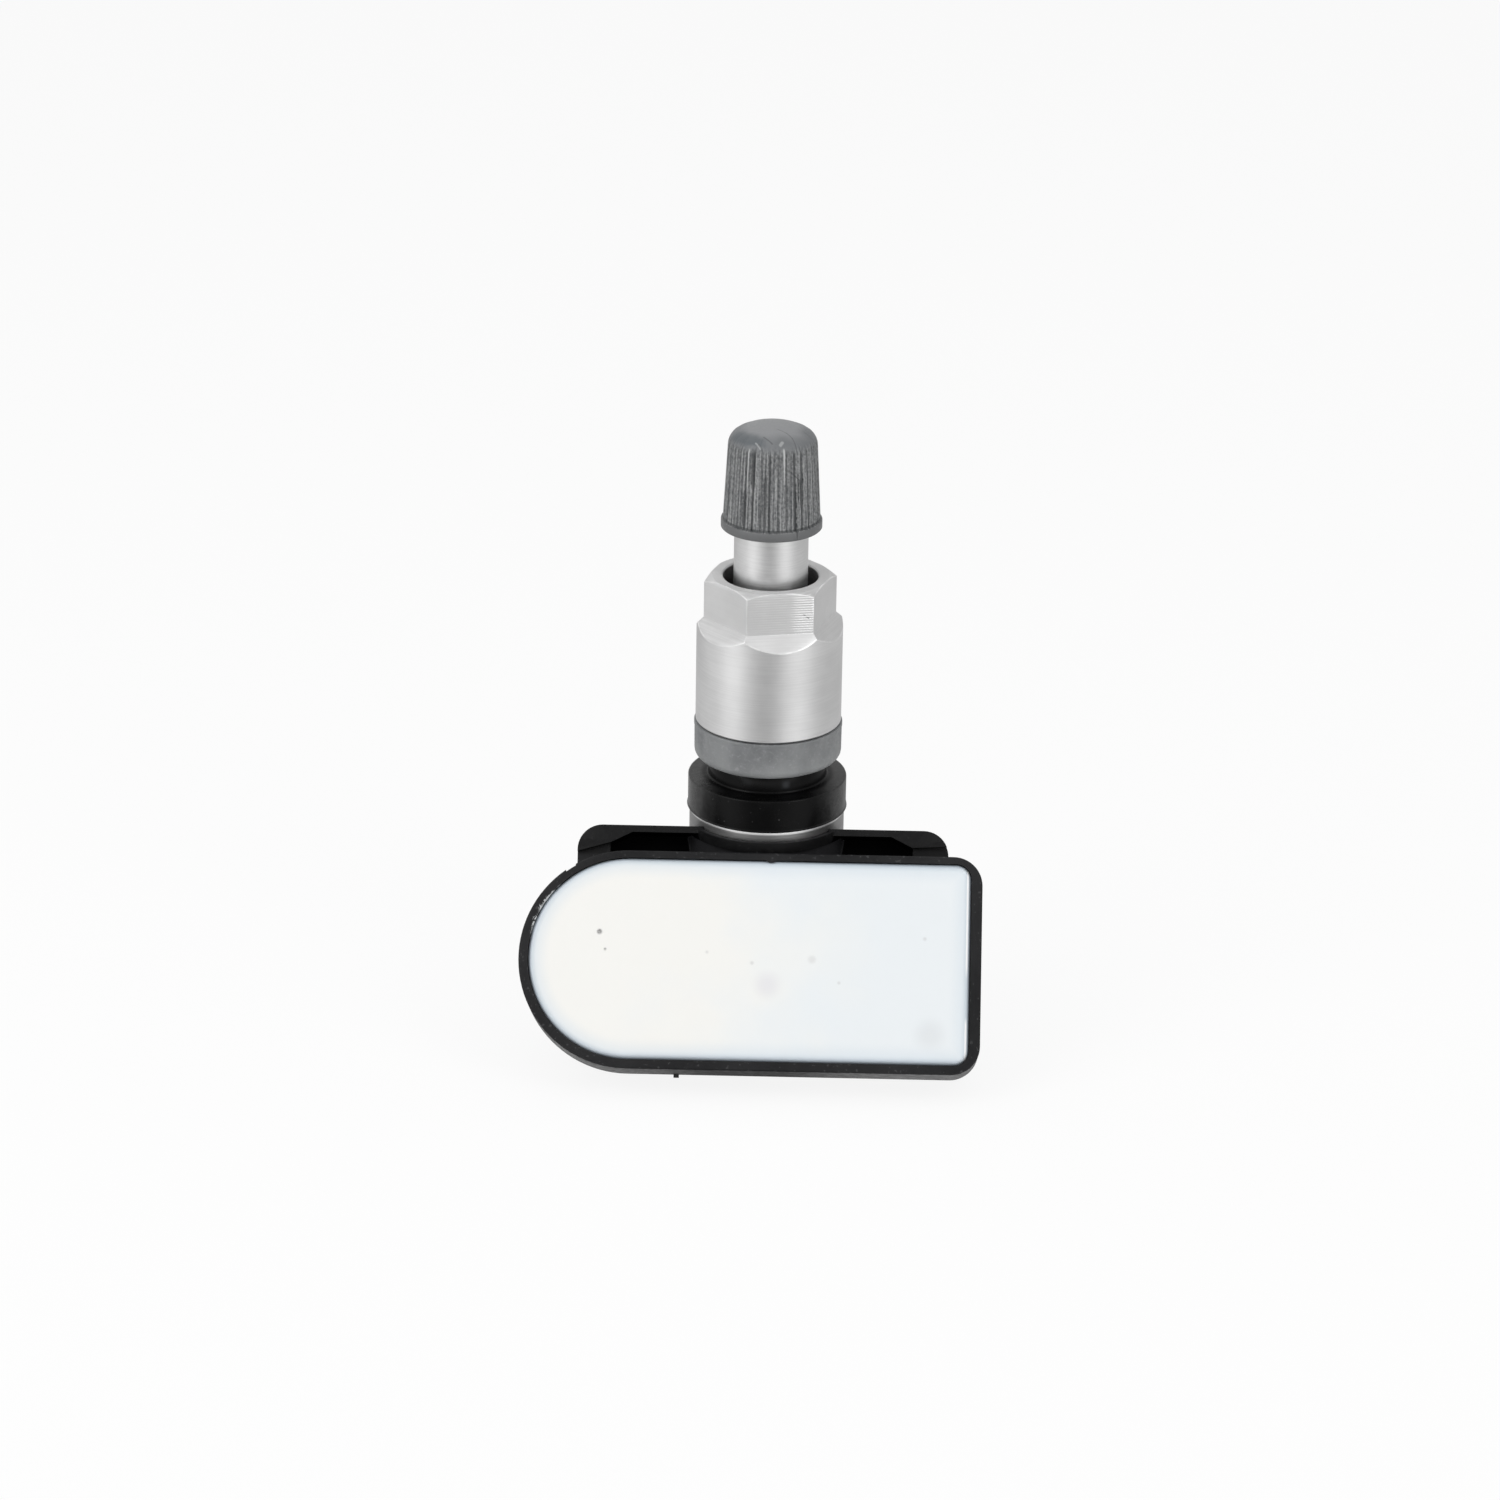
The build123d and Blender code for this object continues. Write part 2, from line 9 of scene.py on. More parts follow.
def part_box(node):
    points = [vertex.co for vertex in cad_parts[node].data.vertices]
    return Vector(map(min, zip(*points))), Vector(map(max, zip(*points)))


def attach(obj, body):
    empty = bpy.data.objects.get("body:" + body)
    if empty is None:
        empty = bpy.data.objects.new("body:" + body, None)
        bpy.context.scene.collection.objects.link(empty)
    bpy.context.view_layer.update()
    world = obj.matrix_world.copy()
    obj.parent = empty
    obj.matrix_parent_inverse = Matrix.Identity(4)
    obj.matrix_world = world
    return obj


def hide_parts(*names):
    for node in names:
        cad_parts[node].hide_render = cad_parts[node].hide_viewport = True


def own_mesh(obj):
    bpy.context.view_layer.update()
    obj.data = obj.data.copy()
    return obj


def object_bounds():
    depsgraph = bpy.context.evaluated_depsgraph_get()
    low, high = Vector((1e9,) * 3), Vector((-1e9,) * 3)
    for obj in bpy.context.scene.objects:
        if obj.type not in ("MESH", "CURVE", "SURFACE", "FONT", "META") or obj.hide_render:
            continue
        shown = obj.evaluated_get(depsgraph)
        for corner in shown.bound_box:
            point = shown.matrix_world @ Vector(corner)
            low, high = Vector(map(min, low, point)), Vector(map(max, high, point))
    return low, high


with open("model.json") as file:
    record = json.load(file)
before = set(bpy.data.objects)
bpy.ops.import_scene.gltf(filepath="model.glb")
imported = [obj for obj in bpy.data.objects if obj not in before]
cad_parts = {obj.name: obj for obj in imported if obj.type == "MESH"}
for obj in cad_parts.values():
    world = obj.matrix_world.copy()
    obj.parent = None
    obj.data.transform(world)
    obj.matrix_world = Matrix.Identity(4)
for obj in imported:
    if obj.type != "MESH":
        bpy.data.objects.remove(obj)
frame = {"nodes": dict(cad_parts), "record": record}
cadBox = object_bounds()
nodes = frame["nodes"]
mm = 0.001
tiny = 0.005 * mm  # two places closer than this are the same
weldGap = 0.0005 * mm
boxes = {name: [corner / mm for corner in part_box(name)] for name in nodes}
print("frame loaded:", len(nodes), "nodes")


# camera, at the photo's viewing angle
cameraSet = {
    "target": (0, 0, 10 * mm),
    "distance": 600 * mm,
    "azimuth": 0.5,
    "elevation": 21.09,
    "roll": 0.98,  # the photo leans a little clockwise
    "lens": 139.25,
    "sensor": 36,
    "clip": 10 * mm,
    "aimLeft": 1.95 * mm,
    "aimBelow": 7.0 * mm,
}


def direction(azimuth, elevation):
    turn = math.radians(azimuth)
    rise = math.radians(elevation)
    return Vector((math.sin(turn) * math.cos(rise), -math.cos(turn) * math.cos(rise), math.sin(rise)))


def makeCamera(settings):
    back = direction(settings["azimuth"], settings["elevation"])
    right = Vector((0, 0, 1)).cross(back).normalized()
    up = back.cross(right)
    roll = math.radians(settings["roll"])
    rolledRight = right * math.cos(roll) + up * math.sin(roll)
    rolledUp = up * math.cos(roll) - right * math.sin(roll)
    target = Vector(settings["target"])
    place = target + back * settings["distance"]
    aim = target - rolledRight * settings["aimLeft"] - rolledUp * settings["aimBelow"]
    back = (place - aim).normalized()
    right = rolledUp.cross(back).normalized()
    up = back.cross(right)
    bpy.ops.object.camera_add(location=place)
    camera = bpy.context.object
    camera.name = "photoCamera"
    camera.rotation_euler = Matrix((right, up, back)).transposed().to_euler()
    camera.data.lens = settings["lens"]
    camera.data.sensor_width = settings["sensor"]
    camera.data.clip_start = settings["clip"]
    bpy.context.scene.camera = camera


makeCamera(cameraSet)
print("camera placed")


# node helpers shared by the studio and the finishes
class NodeTools:
    def __init__(self, tree):
        self.tree = tree

    def node(self, kind, **inputs):
        made = self.tree.nodes.new(kind)
        for name, value in inputs.items():
            self.plug(made.inputs[name], value)
        return made

    def plug(self, socket, value):
        if isinstance(value, bpy.types.NodeSocket):
            self.tree.links.new(value, socket)
        else:
            socket.default_value = value

    def fill(self, made, values):
        for socket, value in zip(made.inputs, values):
            self.plug(socket, value)
        return made.outputs[0]

    def calc(self, operation, *values):
        made = self.node("ShaderNodeMath")
        made.operation = operation
        return self.fill(made, values)

    def plus(self, first, second):
        return self.calc("ADD", first, second)

    def less(self, first, second):
        return self.calc("SUBTRACT", first, second)

    def line(self, value, slope, start):
        return self.calc("MULTIPLY_ADD", value, slope, start)

    def times(self, first, *others):
        for other in others:
            first = self.calc("MULTIPLY", first, other)
        return first

    def span(self, value, low, high, newLow=0.0, newHigh=1.0):
        # a soft step from one level to another
        made = self.node("ShaderNodeMapRange")
        made.interpolation_type = "SMOOTHSTEP"
        return self.fill(made, (value, low, high, newLow, newHigh))

    def near(self, value, place, inner, outer):
        return self.span(self.calc("ABSOLUTE", self.less(value, place)), inner, outer, 1.0, 0.0)

    def between(self, value, low, high, fade):
        return self.near(value, (low + high) / 2, (high - low) / 2 - fade, (high - low) / 2)

    def weigh(self, first, second, share):
        return self.line(first, share, self.times(second, 1 - share))

    def split(self, vector):
        return self.node("ShaderNodeSeparateXYZ", Vector=vector).outputs

    def reach(self, x, y):
        return self.calc("SQRT", self.plus(self.times(x, x), self.times(y, y)))

    def layer(self, share, first, second):
        return self.fill(self.node("ShaderNodeMixShader"), (share, first, second))

    def mirrored(self, ray):
        return self.calc("MAXIMUM", ray["Is Glossy Ray"], ray["Is Transmission Ray"])


class Finish(NodeTools):
    def __init__(self, name, metallic=0.0):
        self.material = bpy.data.materials.new(name)
        self.material.use_nodes = True
        super().__init__(self.material.node_tree)
        self.shader = self.tree.nodes["Principled BSDF"]
        self.shader.inputs["Metallic"].default_value = metallic
        self.coords = self.node("ShaderNodeTexCoord").outputs["Object"]

    def place(self):
        return self.split(self.coords)

    def stretch(self, scale):
        return self.node("ShaderNodeMapping", Vector=self.coords, Scale=scale).outputs[0]

    def noise(self, vector, detail, roughness=0.55, distortion=0.0):
        return self.node("ShaderNodeTexNoise", Vector=vector, Scale=1.0, Detail=detail, Roughness=roughness,
                         Distortion=distortion).outputs[0]

    def speckle(self, scale, detail, roughness=0.55):
        return self.noise(self.stretch((scale, scale, scale)), detail, roughness)

    def blend(self, share, first, second):
        made = self.node("ShaderNodeMix")
        made.data_type = "RGBA"
        for socket, value in ((0, share), (6, first), (7, second)):
            self.plug(made.inputs[socket], value)
        return made.outputs[2]

    def vary(self, noise, low=0.0, high=1.0):
        # noise seldom leaves 0.3 to 0.7
        return self.span(noise, 0.3, 0.7, low, high)

    def paint(self, share, color):
        self.color = self.blend(share, self.color, color)

    def around(self, turns, rise):
        # the direction round the stem axis and the height, so that streaks close on themselves
        x, y, z = self.place()
        radius = self.calc("MAXIMUM", self.reach(x, y), 0.01 * mm)
        return self.node(
            "ShaderNodeCombineXYZ", X=self.times(self.calc("DIVIDE", x, radius), turns),
            Y=self.times(self.calc("DIVIDE", y, radius), turns), Z=self.times(z, rise)).outputs[0]

    def azimuth(self):
        x, y, z = self.place()
        return self.calc("ARCTAN2", x, self.times(y, -1))

    def onFace(self):
        # across, up and out of the leaning housing's face
        x, y, z = self.place()
        z = self.less(z, houseSet["base"])
        sine, cosine = math.sin(houseSet["lean"]), math.cos(houseSet["lean"])
        up = self.plus(self.times(y, sine), self.times(z, cosine))
        out = self.less(self.times(z, sine), self.times(y, cosine))
        return x, up, out

    def away(self, x, up, place):
        return self.reach(self.less(x, place[0] * mm), self.less(up, place[1] * mm))

    def stroke(self, x, y, start, end, half):
        # a thin mark from one point to another, in mm
        run, rise = (end[0] - start[0]) * mm, (end[1] - start[1]) * mm
        length = run * run + rise * rise
        x, y = self.less(x, start[0] * mm), self.less(y, start[1] * mm)
        share = self.line(x, run / length, self.times(y, rise / length))
        share = self.calc("MINIMUM", self.calc("MAXIMUM", share, 0), 1)
        x = self.line(share, -run, x)
        y = self.line(share, -rise, y)
        return self.span(self.reach(x, y), half * 0.4 * mm, half * mm, 1, 0)

    def relief(self, height, depth, strength=1.0, under=None):
        made = self.node("ShaderNodeBump", Strength=strength, Distance=depth, Height=height)
        if under is not None:
            self.plug(made.inputs["Normal"], under)
        return made.outputs[0]

    def close(self, roughness, normal):
        for name, value in (("Base Color", self.color), ("Roughness", roughness), ("Normal", normal)):
            self.plug(self.shader.inputs[name], value)
        return self.material


def gray(level):
    return (level, level, level, 1)


# the housing leans back from the stem, about the middle of the foot's underside
houseSet = {
    "lean": math.radians(30),
    "base": boxes["valve_stem"][0].z * mm,
}


# studio: pale floor, white surroundings, soft lamps
studioSet = {
    "floorSize": 6.0,
    "floorColor": gray(0.9),
    "floorWhite": 0.88,  # share of plain white that the camera sees on the floor
    "floorShade": 0.51,  # what metal sees of the floor in front, between the two bright sides
    "floorEdge": 0.08,  # added away from the front
    "floorEdgeTurn": math.radians(60),
    "floorSides": [(-56, 36, 0.5), (46, 38, 0.46), (-100, 28, 0.13)],  # azimuth, half width and light
    "floorDip": (-5, 10, 30, 0.18),  # azimuth, half widths and depth of the camera's dark side
    "roomLight": 0.5,  # what the white surroundings add to the lamps
    "mirrorLight": 0.95,  # what metal and glass see of them overhead
    "mirrorSides": (0.73, 0.55),  # and on the left and the right
    "mirrorTurn": (-0.8, 0.8),  # from there to here, as shares of sideways
    "overRise": (0.6, 0.9),  # where overhead begins, as shares of upright
    "overFront": (-0.3, 0.2),  # and ends, as shares of backward
    "frontLight": 0.4,  # share that the darker gap round the camera keeps
    "frontGap": (-0.95, -0.35),
    "windowLight": (1.25, 2.1),  # a low strip of light in front, as a lamp and as metal sees it
    "windowRise": (0.13, 0.07, 0.14),  # its middle, and where it fades, as shares of upright
    "windowFront": (-0.8, -0.5),
    "lamps": [
        # name, azimuth, elevation, distance, width, height, watts
        ("leftBox", -55, 32, 0.55, 0.3, 0.4, 0.95),
        ("rightBox", 48, 30, 0.55, 0.22, 0.4, 0.7),
        ("topBox", -6, 72, 0.6, 0.85, 0.75, 1.2),
    ],
    "plainLamps": ["topBox"],  # metal shows the white surroundings in place of these
    "lampTarget": (0, 0, 5 * mm),
}


def makeFloor(settings):
    bpy.ops.mesh.primitive_plane_add(size=settings["floorSize"], location=(0, 0, cadBox[0].z))
    floor = bpy.context.object
    floor.name = "floor"
    finish = Finish("paleFloor")
    paint = finish.node("ShaderNodeBsdfDiffuse", Color=settings["floorColor"]).outputs[0]
    white = finish.node("ShaderNodeEmission", Color=gray(1), Strength=1.0).outputs[0]
    turn = finish.azimuth()
    glow = finish.span(finish.calc("ABSOLUTE", turn), 0, settings["floorEdgeTurn"], settings["floorShade"],
                       settings["floorShade"] + settings["floorEdge"])
    for azimuth, half, light in settings["floorSides"]:
        side = finish.near(turn, math.radians(azimuth), 0, math.radians(half))
        glow = finish.plus(glow, finish.times(side, light))
    azimuth, inner, outer, depth = settings["floorDip"]
    dip = finish.near(turn, math.radians(azimuth), math.radians(inner), math.radians(outer))
    glow = finish.less(glow, finish.times(dip, depth))
    sheen = finish.node("ShaderNodeEmission", Color=gray(1), Strength=glow).outputs[0]
    ray = finish.node("ShaderNodeLightPath").outputs
    seen = finish.layer(finish.times(ray["Is Camera Ray"], settings["floorWhite"]), paint, white)
    finish.plug(finish.tree.nodes["Material Output"].inputs["Surface"],
                finish.layer(finish.mirrored(ray), seen, sheen))
    finish.tree.nodes.remove(finish.shader)
    floor.data.materials.append(finish.material)


def makeWorld(settings):
    world = bpy.data.worlds.new("studioWorld")
    bpy.context.scene.world = world
    world.use_nodes = True
    world.node_tree.nodes.clear()
    sky = NodeTools(world.node_tree)
    x, y, z = sky.split(sky.node("ShaderNodeTexCoord").outputs["Generated"])
    ray = sky.node("ShaderNodeLightPath").outputs
    mirrored = sky.mirrored(ray)
    sides = sky.span(x, *settings["mirrorTurn"], *settings["mirrorSides"])
    over = sky.times(sky.span(z, *settings["overRise"]), sky.span(y, *settings["overFront"], 1, 0))
    shown = sky.plus(sides, sky.times(over, sky.less(settings["mirrorLight"], sides)))
    level = sky.span(mirrored, 0, 1, settings["roomLight"], shown)
    gap = sky.span(y, *settings["frontGap"], settings["frontLight"], 1)
    strip = sky.span(mirrored, 0, 1, *settings["windowLight"])
    window = sky.times(sky.near(z, *settings["windowRise"]), sky.span(y, *settings["windowFront"], strip, 0))
    lit = sky.calc("MAXIMUM", sky.times(level, gap), window)
    # the camera itself sees plain white
    strength = sky.calc("MAXIMUM", lit, ray["Is Camera Ray"])
    white = sky.node("ShaderNodeBackground", Color=gray(1), Strength=strength)
    sky.node("ShaderNodeOutputWorld", Surface=white.outputs[0])


def makeLamps(settings):
    target = Vector(settings["lampTarget"])
    for name, azimuth, elevation, distance, width, height, watts in settings["lamps"]:
        toLamp = direction(azimuth, elevation)
        bpy.ops.object.light_add(type="AREA", location=target + toLamp * distance)
        lamp = bpy.context.object
        lamp.name = name
        lamp.rotation_euler = toLamp.to_track_quat("Z", "Y").to_euler()
        lamp.data.shape = "RECTANGLE"
        lamp.data.size = width
        lamp.data.size_y = height
        lamp.data.energy = watts
        lamp.visible_glossy = name not in settings["plainLamps"]


makeFloor(studioSet)
makeWorld(studioSet)
makeLamps(studioSet)
bpy.context.scene.view_settings.view_transform = "Standard"
print("studio lit")


# modelling helpers
def take(settings, *names):
    return [settings[name] for name in names]


def choose(piece):
    bpy.ops.object.select_all(action="DESELECT")
    piece.select_set(True)
    bpy.context.view_layer.objects.active = piece


def editOn(piece):
    choose(piece)
    bpy.ops.object.mode_set(mode="EDIT")


def editOff():
    bpy.ops.object.mode_set(mode="OBJECT")


def pickAll():
    bpy.ops.mesh.select_all(action="SELECT")


def pick(piece, kind, test):
    bpy.ops.mesh.select_all(action="DESELECT")
    bpy.ops.mesh.select_mode(type={"verts": "VERT", "edges": "EDGE", "faces": "FACE"}[kind])
    mesh = bmesh.from_edit_mesh(piece.data)
    for item in getattr(mesh, kind):
        if test(item):
            item.select_set(True)
    mesh.select_flush_mode()
    bmesh.update_edit_mesh(piece.data)


def weld():
    pickAll()
    bpy.ops.mesh.remove_doubles(threshold=weldGap)


def cleanUp():
    weld()
    bpy.ops.mesh.normals_make_consistent(inside=False)
    editOff()


def settle():
    # the place, turn and size become part of the mesh
    bpy.ops.object.transform_apply(location=True, rotation=True, scale=True)


def turnedPiece(name, profile, sides):
    # a ring drawn along the profile, given as radius and height in mm
    radius, height = profile[0]
    bpy.ops.mesh.primitive_circle_add(vertices=sides, radius=radius * mm, location=(0, 0, height * mm))
    piece = bpy.context.object
    piece.name = name
    settle()
    bpy.ops.object.mode_set(mode="EDIT")
    pickAll()
    for newRadius, newHeight in profile[1:]:
        bpy.ops.mesh.extrude_region_move(TRANSFORM_OT_translate={"value": (0, 0, (newHeight - height) * mm)})
        grow = newRadius / radius
        bpy.ops.transform.resize(value=(grow, grow, 1), center_override=(0, 0, newHeight * mm))
        radius, height = newRadius, newHeight
    return piece


def applyModifier(piece, kind, **settings):
    choose(piece)
    modifier = piece.modifiers.new(kind.lower(), kind)
    for name, value in settings.items():
        setattr(modifier, name, value)
    bpy.ops.object.modifier_apply(modifier=modifier.name)


def closedTurn(name, profile, sides):
    # the profile ends where it began
    piece = turnedPiece(name, profile + profile[:1], sides)
    cleanUp()
    return piece


def breakEdges(piece, settings):
    applyModifier(piece, "BEVEL", width=settings["edge"], segments=2, limit_method="ANGLE",
                  angle_limit=math.radians(settings["sharp"]), use_clamp_overlap=True)


def smooth(piece, angle):
    choose(piece)
    bpy.ops.object.shade_smooth_by_angle(angle=math.radians(angle))
    # wide faces stay flat beside their rounded edges
    applyModifier(piece, "WEIGHTED_NORMAL", keep_sharp=True)


def standFor(piece, node, body, material):
    piece.data.materials.clear()
    piece.data.materials.append(material)
    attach(piece, body)
    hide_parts(node)
    print(piece.name, "made:", len(piece.data.polygons), "faces")


def cadCopy(node, name):
    choose(nodes[node])
    bpy.ops.object.duplicate()
    piece = bpy.context.object
    piece.name = name
    editOn(piece)
    weld()
    editOff()
    return piece


# dust cap: ribbed by pressing grooves into a turned shape
capSet = {
    "roughness": (0.36, 0.5),
    "relief": (0.03 * mm, 0.7),  # depth and strength
    "tones": (0.38, 0.64),
    # painted shade in the grooves and above the lip; also the dark marks, cracks and scratch
    "groove": (0.03, 0.033, 0.035, 1),
    "dark": (0.062, 0.066, 0.07, 1),
    "light": (0.315, 0.32, 0.32, 1),
    "crest": (0.44, 0.445, 0.445, 1),
    # painted highlight on two ribs, and pale scuffs on the dome
    "shine": (0.5, 0.51, 0.51, 1),
    # painted light: the dome's lit top and its shaded sides
    "domeLitTop": (0.255, 0.26, 0.267, 1),
    "domeShadedSide": (0.15, 0.157, 0.164, 1),
    "domePatch": (0.075, 0.09, 0.1, 1),
    "lipTone": (0.125, 0.128, 0.131, 1),
    "bottom": boxes["valve_cap"][0].z,
    "apex": boxes["valve_cap"][1].z,
    "lipRadius": boxes["valve_cap"][1].x,
    "lipHeight": 1.05,
    "lipEdge": 0.2,
    "taper": 0.41,
    "shoulderHeight": 8.79,
    "shoulderRound": 1.65,
    "shoulderSteps": [(12, 0.9), (24, 0.6), (36, 0.25), (46, 0)],  # angle, and share of the grooves' depth
    "domeRings": (2.9, 2.3, 1.7, 1.1, 0.5),
    "bore": 3.92,
    "roof": 36.4,
    "ribs": 68,
    "pointsPerRib": 6,
    "grooveShape": (0, 0.15, 0.75, 1, 0.75, 0.15),  # depth of each point of a rib, as a share
    "grooveDepth": 0.15,
    "deepGrooves": (0.7, 0.85, 1.05),  # every other groove is a fainter one
    "faintGrooves": (0.25, 0.4, 0.6),
    "skirtRings": 14,
    "seed": 7,
    "wornRibs": 20,
    "wornRun": (2, 7),  # shortest and longest
    "wornDepth": (0.25, 0.8),  # as shares of a groove's depth
    "wornBelow": 3,  # how far below the shoulder the highest of them starts
    "smoothAngle": 50,
    "streaks": (44, 170),  # how fine they are round the cap and up it
    "grooveShadeDepth": (0.02 * mm, 0.13 * mm),  # in the grooves
    "crestDepth": 0.03 * mm,
    "ribsFade": (0.3 * mm, 1.0 * mm),  # above the shoulder
    "domeFrom": (1.0 * mm, 1.9 * mm),
    "domeEdge": (3.4 * mm, 5.4 * mm),  # radii between its top and its side
    "darkPatch": (-45, 22, 45),  # azimuth and half widths of the dark side of the dome
    "darkPatchHeight": (1.85, 0.15, 0.6),  # above the shoulder, and half heights
    "ribHighlights": [(-31.8, 32.4, 36.8, 1.9), (15.4, 33.0, 37.0, 2.2)],  # azimuth, ends, width at the top
    "domeMarks": [
        # start, end, half width, bright or dark
        ((-0.91, -2.93), (-0.04, -3.85), 0.1, "groove"),
        ((-1.72, -3.55), (-1.2, -4.13), 0.11, "shine"),
        ((-1.42, -3.78), (-1.02, -4.26), 0.1, "groove"),
        ((0.98, -3.62), (0.8, -3.9), 0.22, "shine"),
        ((0.48, -1.61), (1.39, -2.12), 0.06, "groove"),
        ((1.39, -2.12), (1.96, -2.73), 0.07, "groove"),
        ((1.96, -2.73), (2.44, -3.72), 0.07, "groove"),
        ((3.07, -0.79), (3.99, -1.46), 0.06, "groove"),
    ],
    "crackWidth": 0.6,
    "crackStain": 0.96,
    "crackDepth": 0.8,  # as a share of a groove's depth
    "cracks": [
        # azimuth, low and high end
        (31.0, 27.4, 33.2),
        (34.5, 31.4, 34.2),
        (38.5, 31.9, 33.3),
        (41.5, 32.8, 34.3),
    ],
    "scratch": (14.9, 46.6, 34.8, 33.0),  # azimuths and heights of its ends
}


def capPlastic(settings, lipTop, shoulderZ, skirt, shoulder):
    finish = Finish("capPlastic")
    x, y, z = finish.place()
    radius = finish.reach(x, y)
    turn = finish.azimuth()
    above = finish.less(z, shoulderZ * mm)
    streak = finish.noise(finish.around(*settings["streaks"]), detail=5, roughness=0.75)
    grain = finish.noise(finish.stretch((4600, 4600, 3400)), detail=3)
    patch = finish.speckle(330, detail=2)
    tone = finish.weigh(streak, grain, 0.6)
    finish.color = finish.blend(finish.span(tone, *settings["tones"]), settings["dark"], settings["light"])
    # the grooves between the ribs are painted dark: shade, with some dirt
    slope = (shoulder - skirt) / (shoulderZ - lipTop)
    level = finish.calc("MINIMUM", z, shoulderZ * mm)
    rim = finish.line(finish.less(level, lipTop * mm), slope, skirt * mm)
    rounding = settings["shoulderRound"] * mm
    rise = finish.calc("MAXIMUM", above, 0)
    bulge = finish.less(rounding ** 2, finish.times(rise, rise))
    bulge = finish.less(finish.calc("SQRT", finish.calc("MAXIMUM", bulge, 0)), rounding)
    depth = finish.less(finish.plus(rim, bulge), radius)
    deep = finish.span(depth, *settings["grooveShadeDepth"], 0, 0.7)
    below = finish.span(above, *settings["ribsFade"], 1, 0)
    finish.paint(finish.times(deep, below), settings["groove"])
    # and their crests are worn bright in streaks
    crest = finish.times(finish.span(depth, 0, settings["crestDepth"], 1, 0),
                         finish.span(streak, 0.45, 0.68, 0, 0.75), below)
    finish.paint(crest, settings["crest"])
    # a plain dome, painted lighter on top and shaded towards its sides, with a darker patch on one side
    ragged = finish.line(streak, 1.6 * mm, above)
    onDome = finish.span(ragged, *settings["domeFrom"])
    uneven = finish.line(patch, 2.2 * mm, radius)
    dome = finish.blend(finish.span(uneven, *settings["domeEdge"]), settings["domeLitTop"], settings["domeShadedSide"])
    height = finish.line(patch, 1.2 * mm, above)
    darkPatch = finish.times(finish.near(turn, *[math.radians(value) for value in settings["darkPatch"]]),
                         finish.near(height, *[value * mm for value in settings["darkPatchHeight"]]),
                         finish.span(streak, 0.3, 0.6, 0.95, 0.5))
    dome = finish.blend(darkPatch, dome, settings["domePatch"])
    finish.paint(onDome, dome)
    for start, end, half, shade in settings["domeMarks"]:
        mark = finish.stroke(x, y, start, end, half)
        mark = finish.times(mark, finish.span(above, 0.3 * mm, 0.5 * mm, 0, 0.45))
        finish.paint(mark, settings[shade])
    # the lip ring is smooth, with a painted shade line above it
    lip = finish.span(z, (lipTop - 0.16) * mm, (lipTop - 0.1) * mm, 1, 0)
    finish.paint(lip, settings["lipTone"])
    line = finish.near(z, (lipTop + 0.04) * mm, 0.08 * mm, 0.2 * mm)
    finish.paint(finish.times(line, 0.75), settings["groove"])
    # two ribs carry painted highlights, most at their upper ends
    for azimuth, low, high, width in settings["ribHighlights"]:
        half = finish.span(z, low * mm, high * mm, math.radians(0.5), math.radians(width))
        worn = finish.near(turn, math.radians(azimuth), 0.0, half)
        worn = finish.times(worn, finish.between(z, low * mm, high * mm, 0.08 * (high - low) * mm))
        finish.paint(finish.times(worn, 0.9), settings["shine"])
    ragged = finish.plus(turn, finish.line(grain, math.radians(3), math.radians(-1.5)))
    for azimuth, low, high in settings["cracks"]:
        crack = finish.near(ragged, math.radians(azimuth), 0, math.radians(settings["crackStain"]))
        crack = finish.times(crack, finish.between(z, low * mm, high * mm, 0.05 * (high - low) * mm))
        finish.paint(finish.times(crack, 0.9), settings["groove"])
    start, end, high, low = settings["scratch"]
    run = finish.span(turn, math.radians(start), math.radians(end), high * mm, low * mm)
    scratch = finish.near(finish.less(z, run), 0, 0.02 * mm, 0.12 * mm)
    middle, half = math.radians((start + end) / 2), math.radians((end - start) / 2)
    scratch = finish.times(scratch, finish.near(turn, middle, 0, half))
    finish.paint(finish.times(scratch, 0.7), settings["groove"])
    return finish.close(finish.vary(grain, *settings["roughness"]), finish.relief(grain, *settings["relief"]))


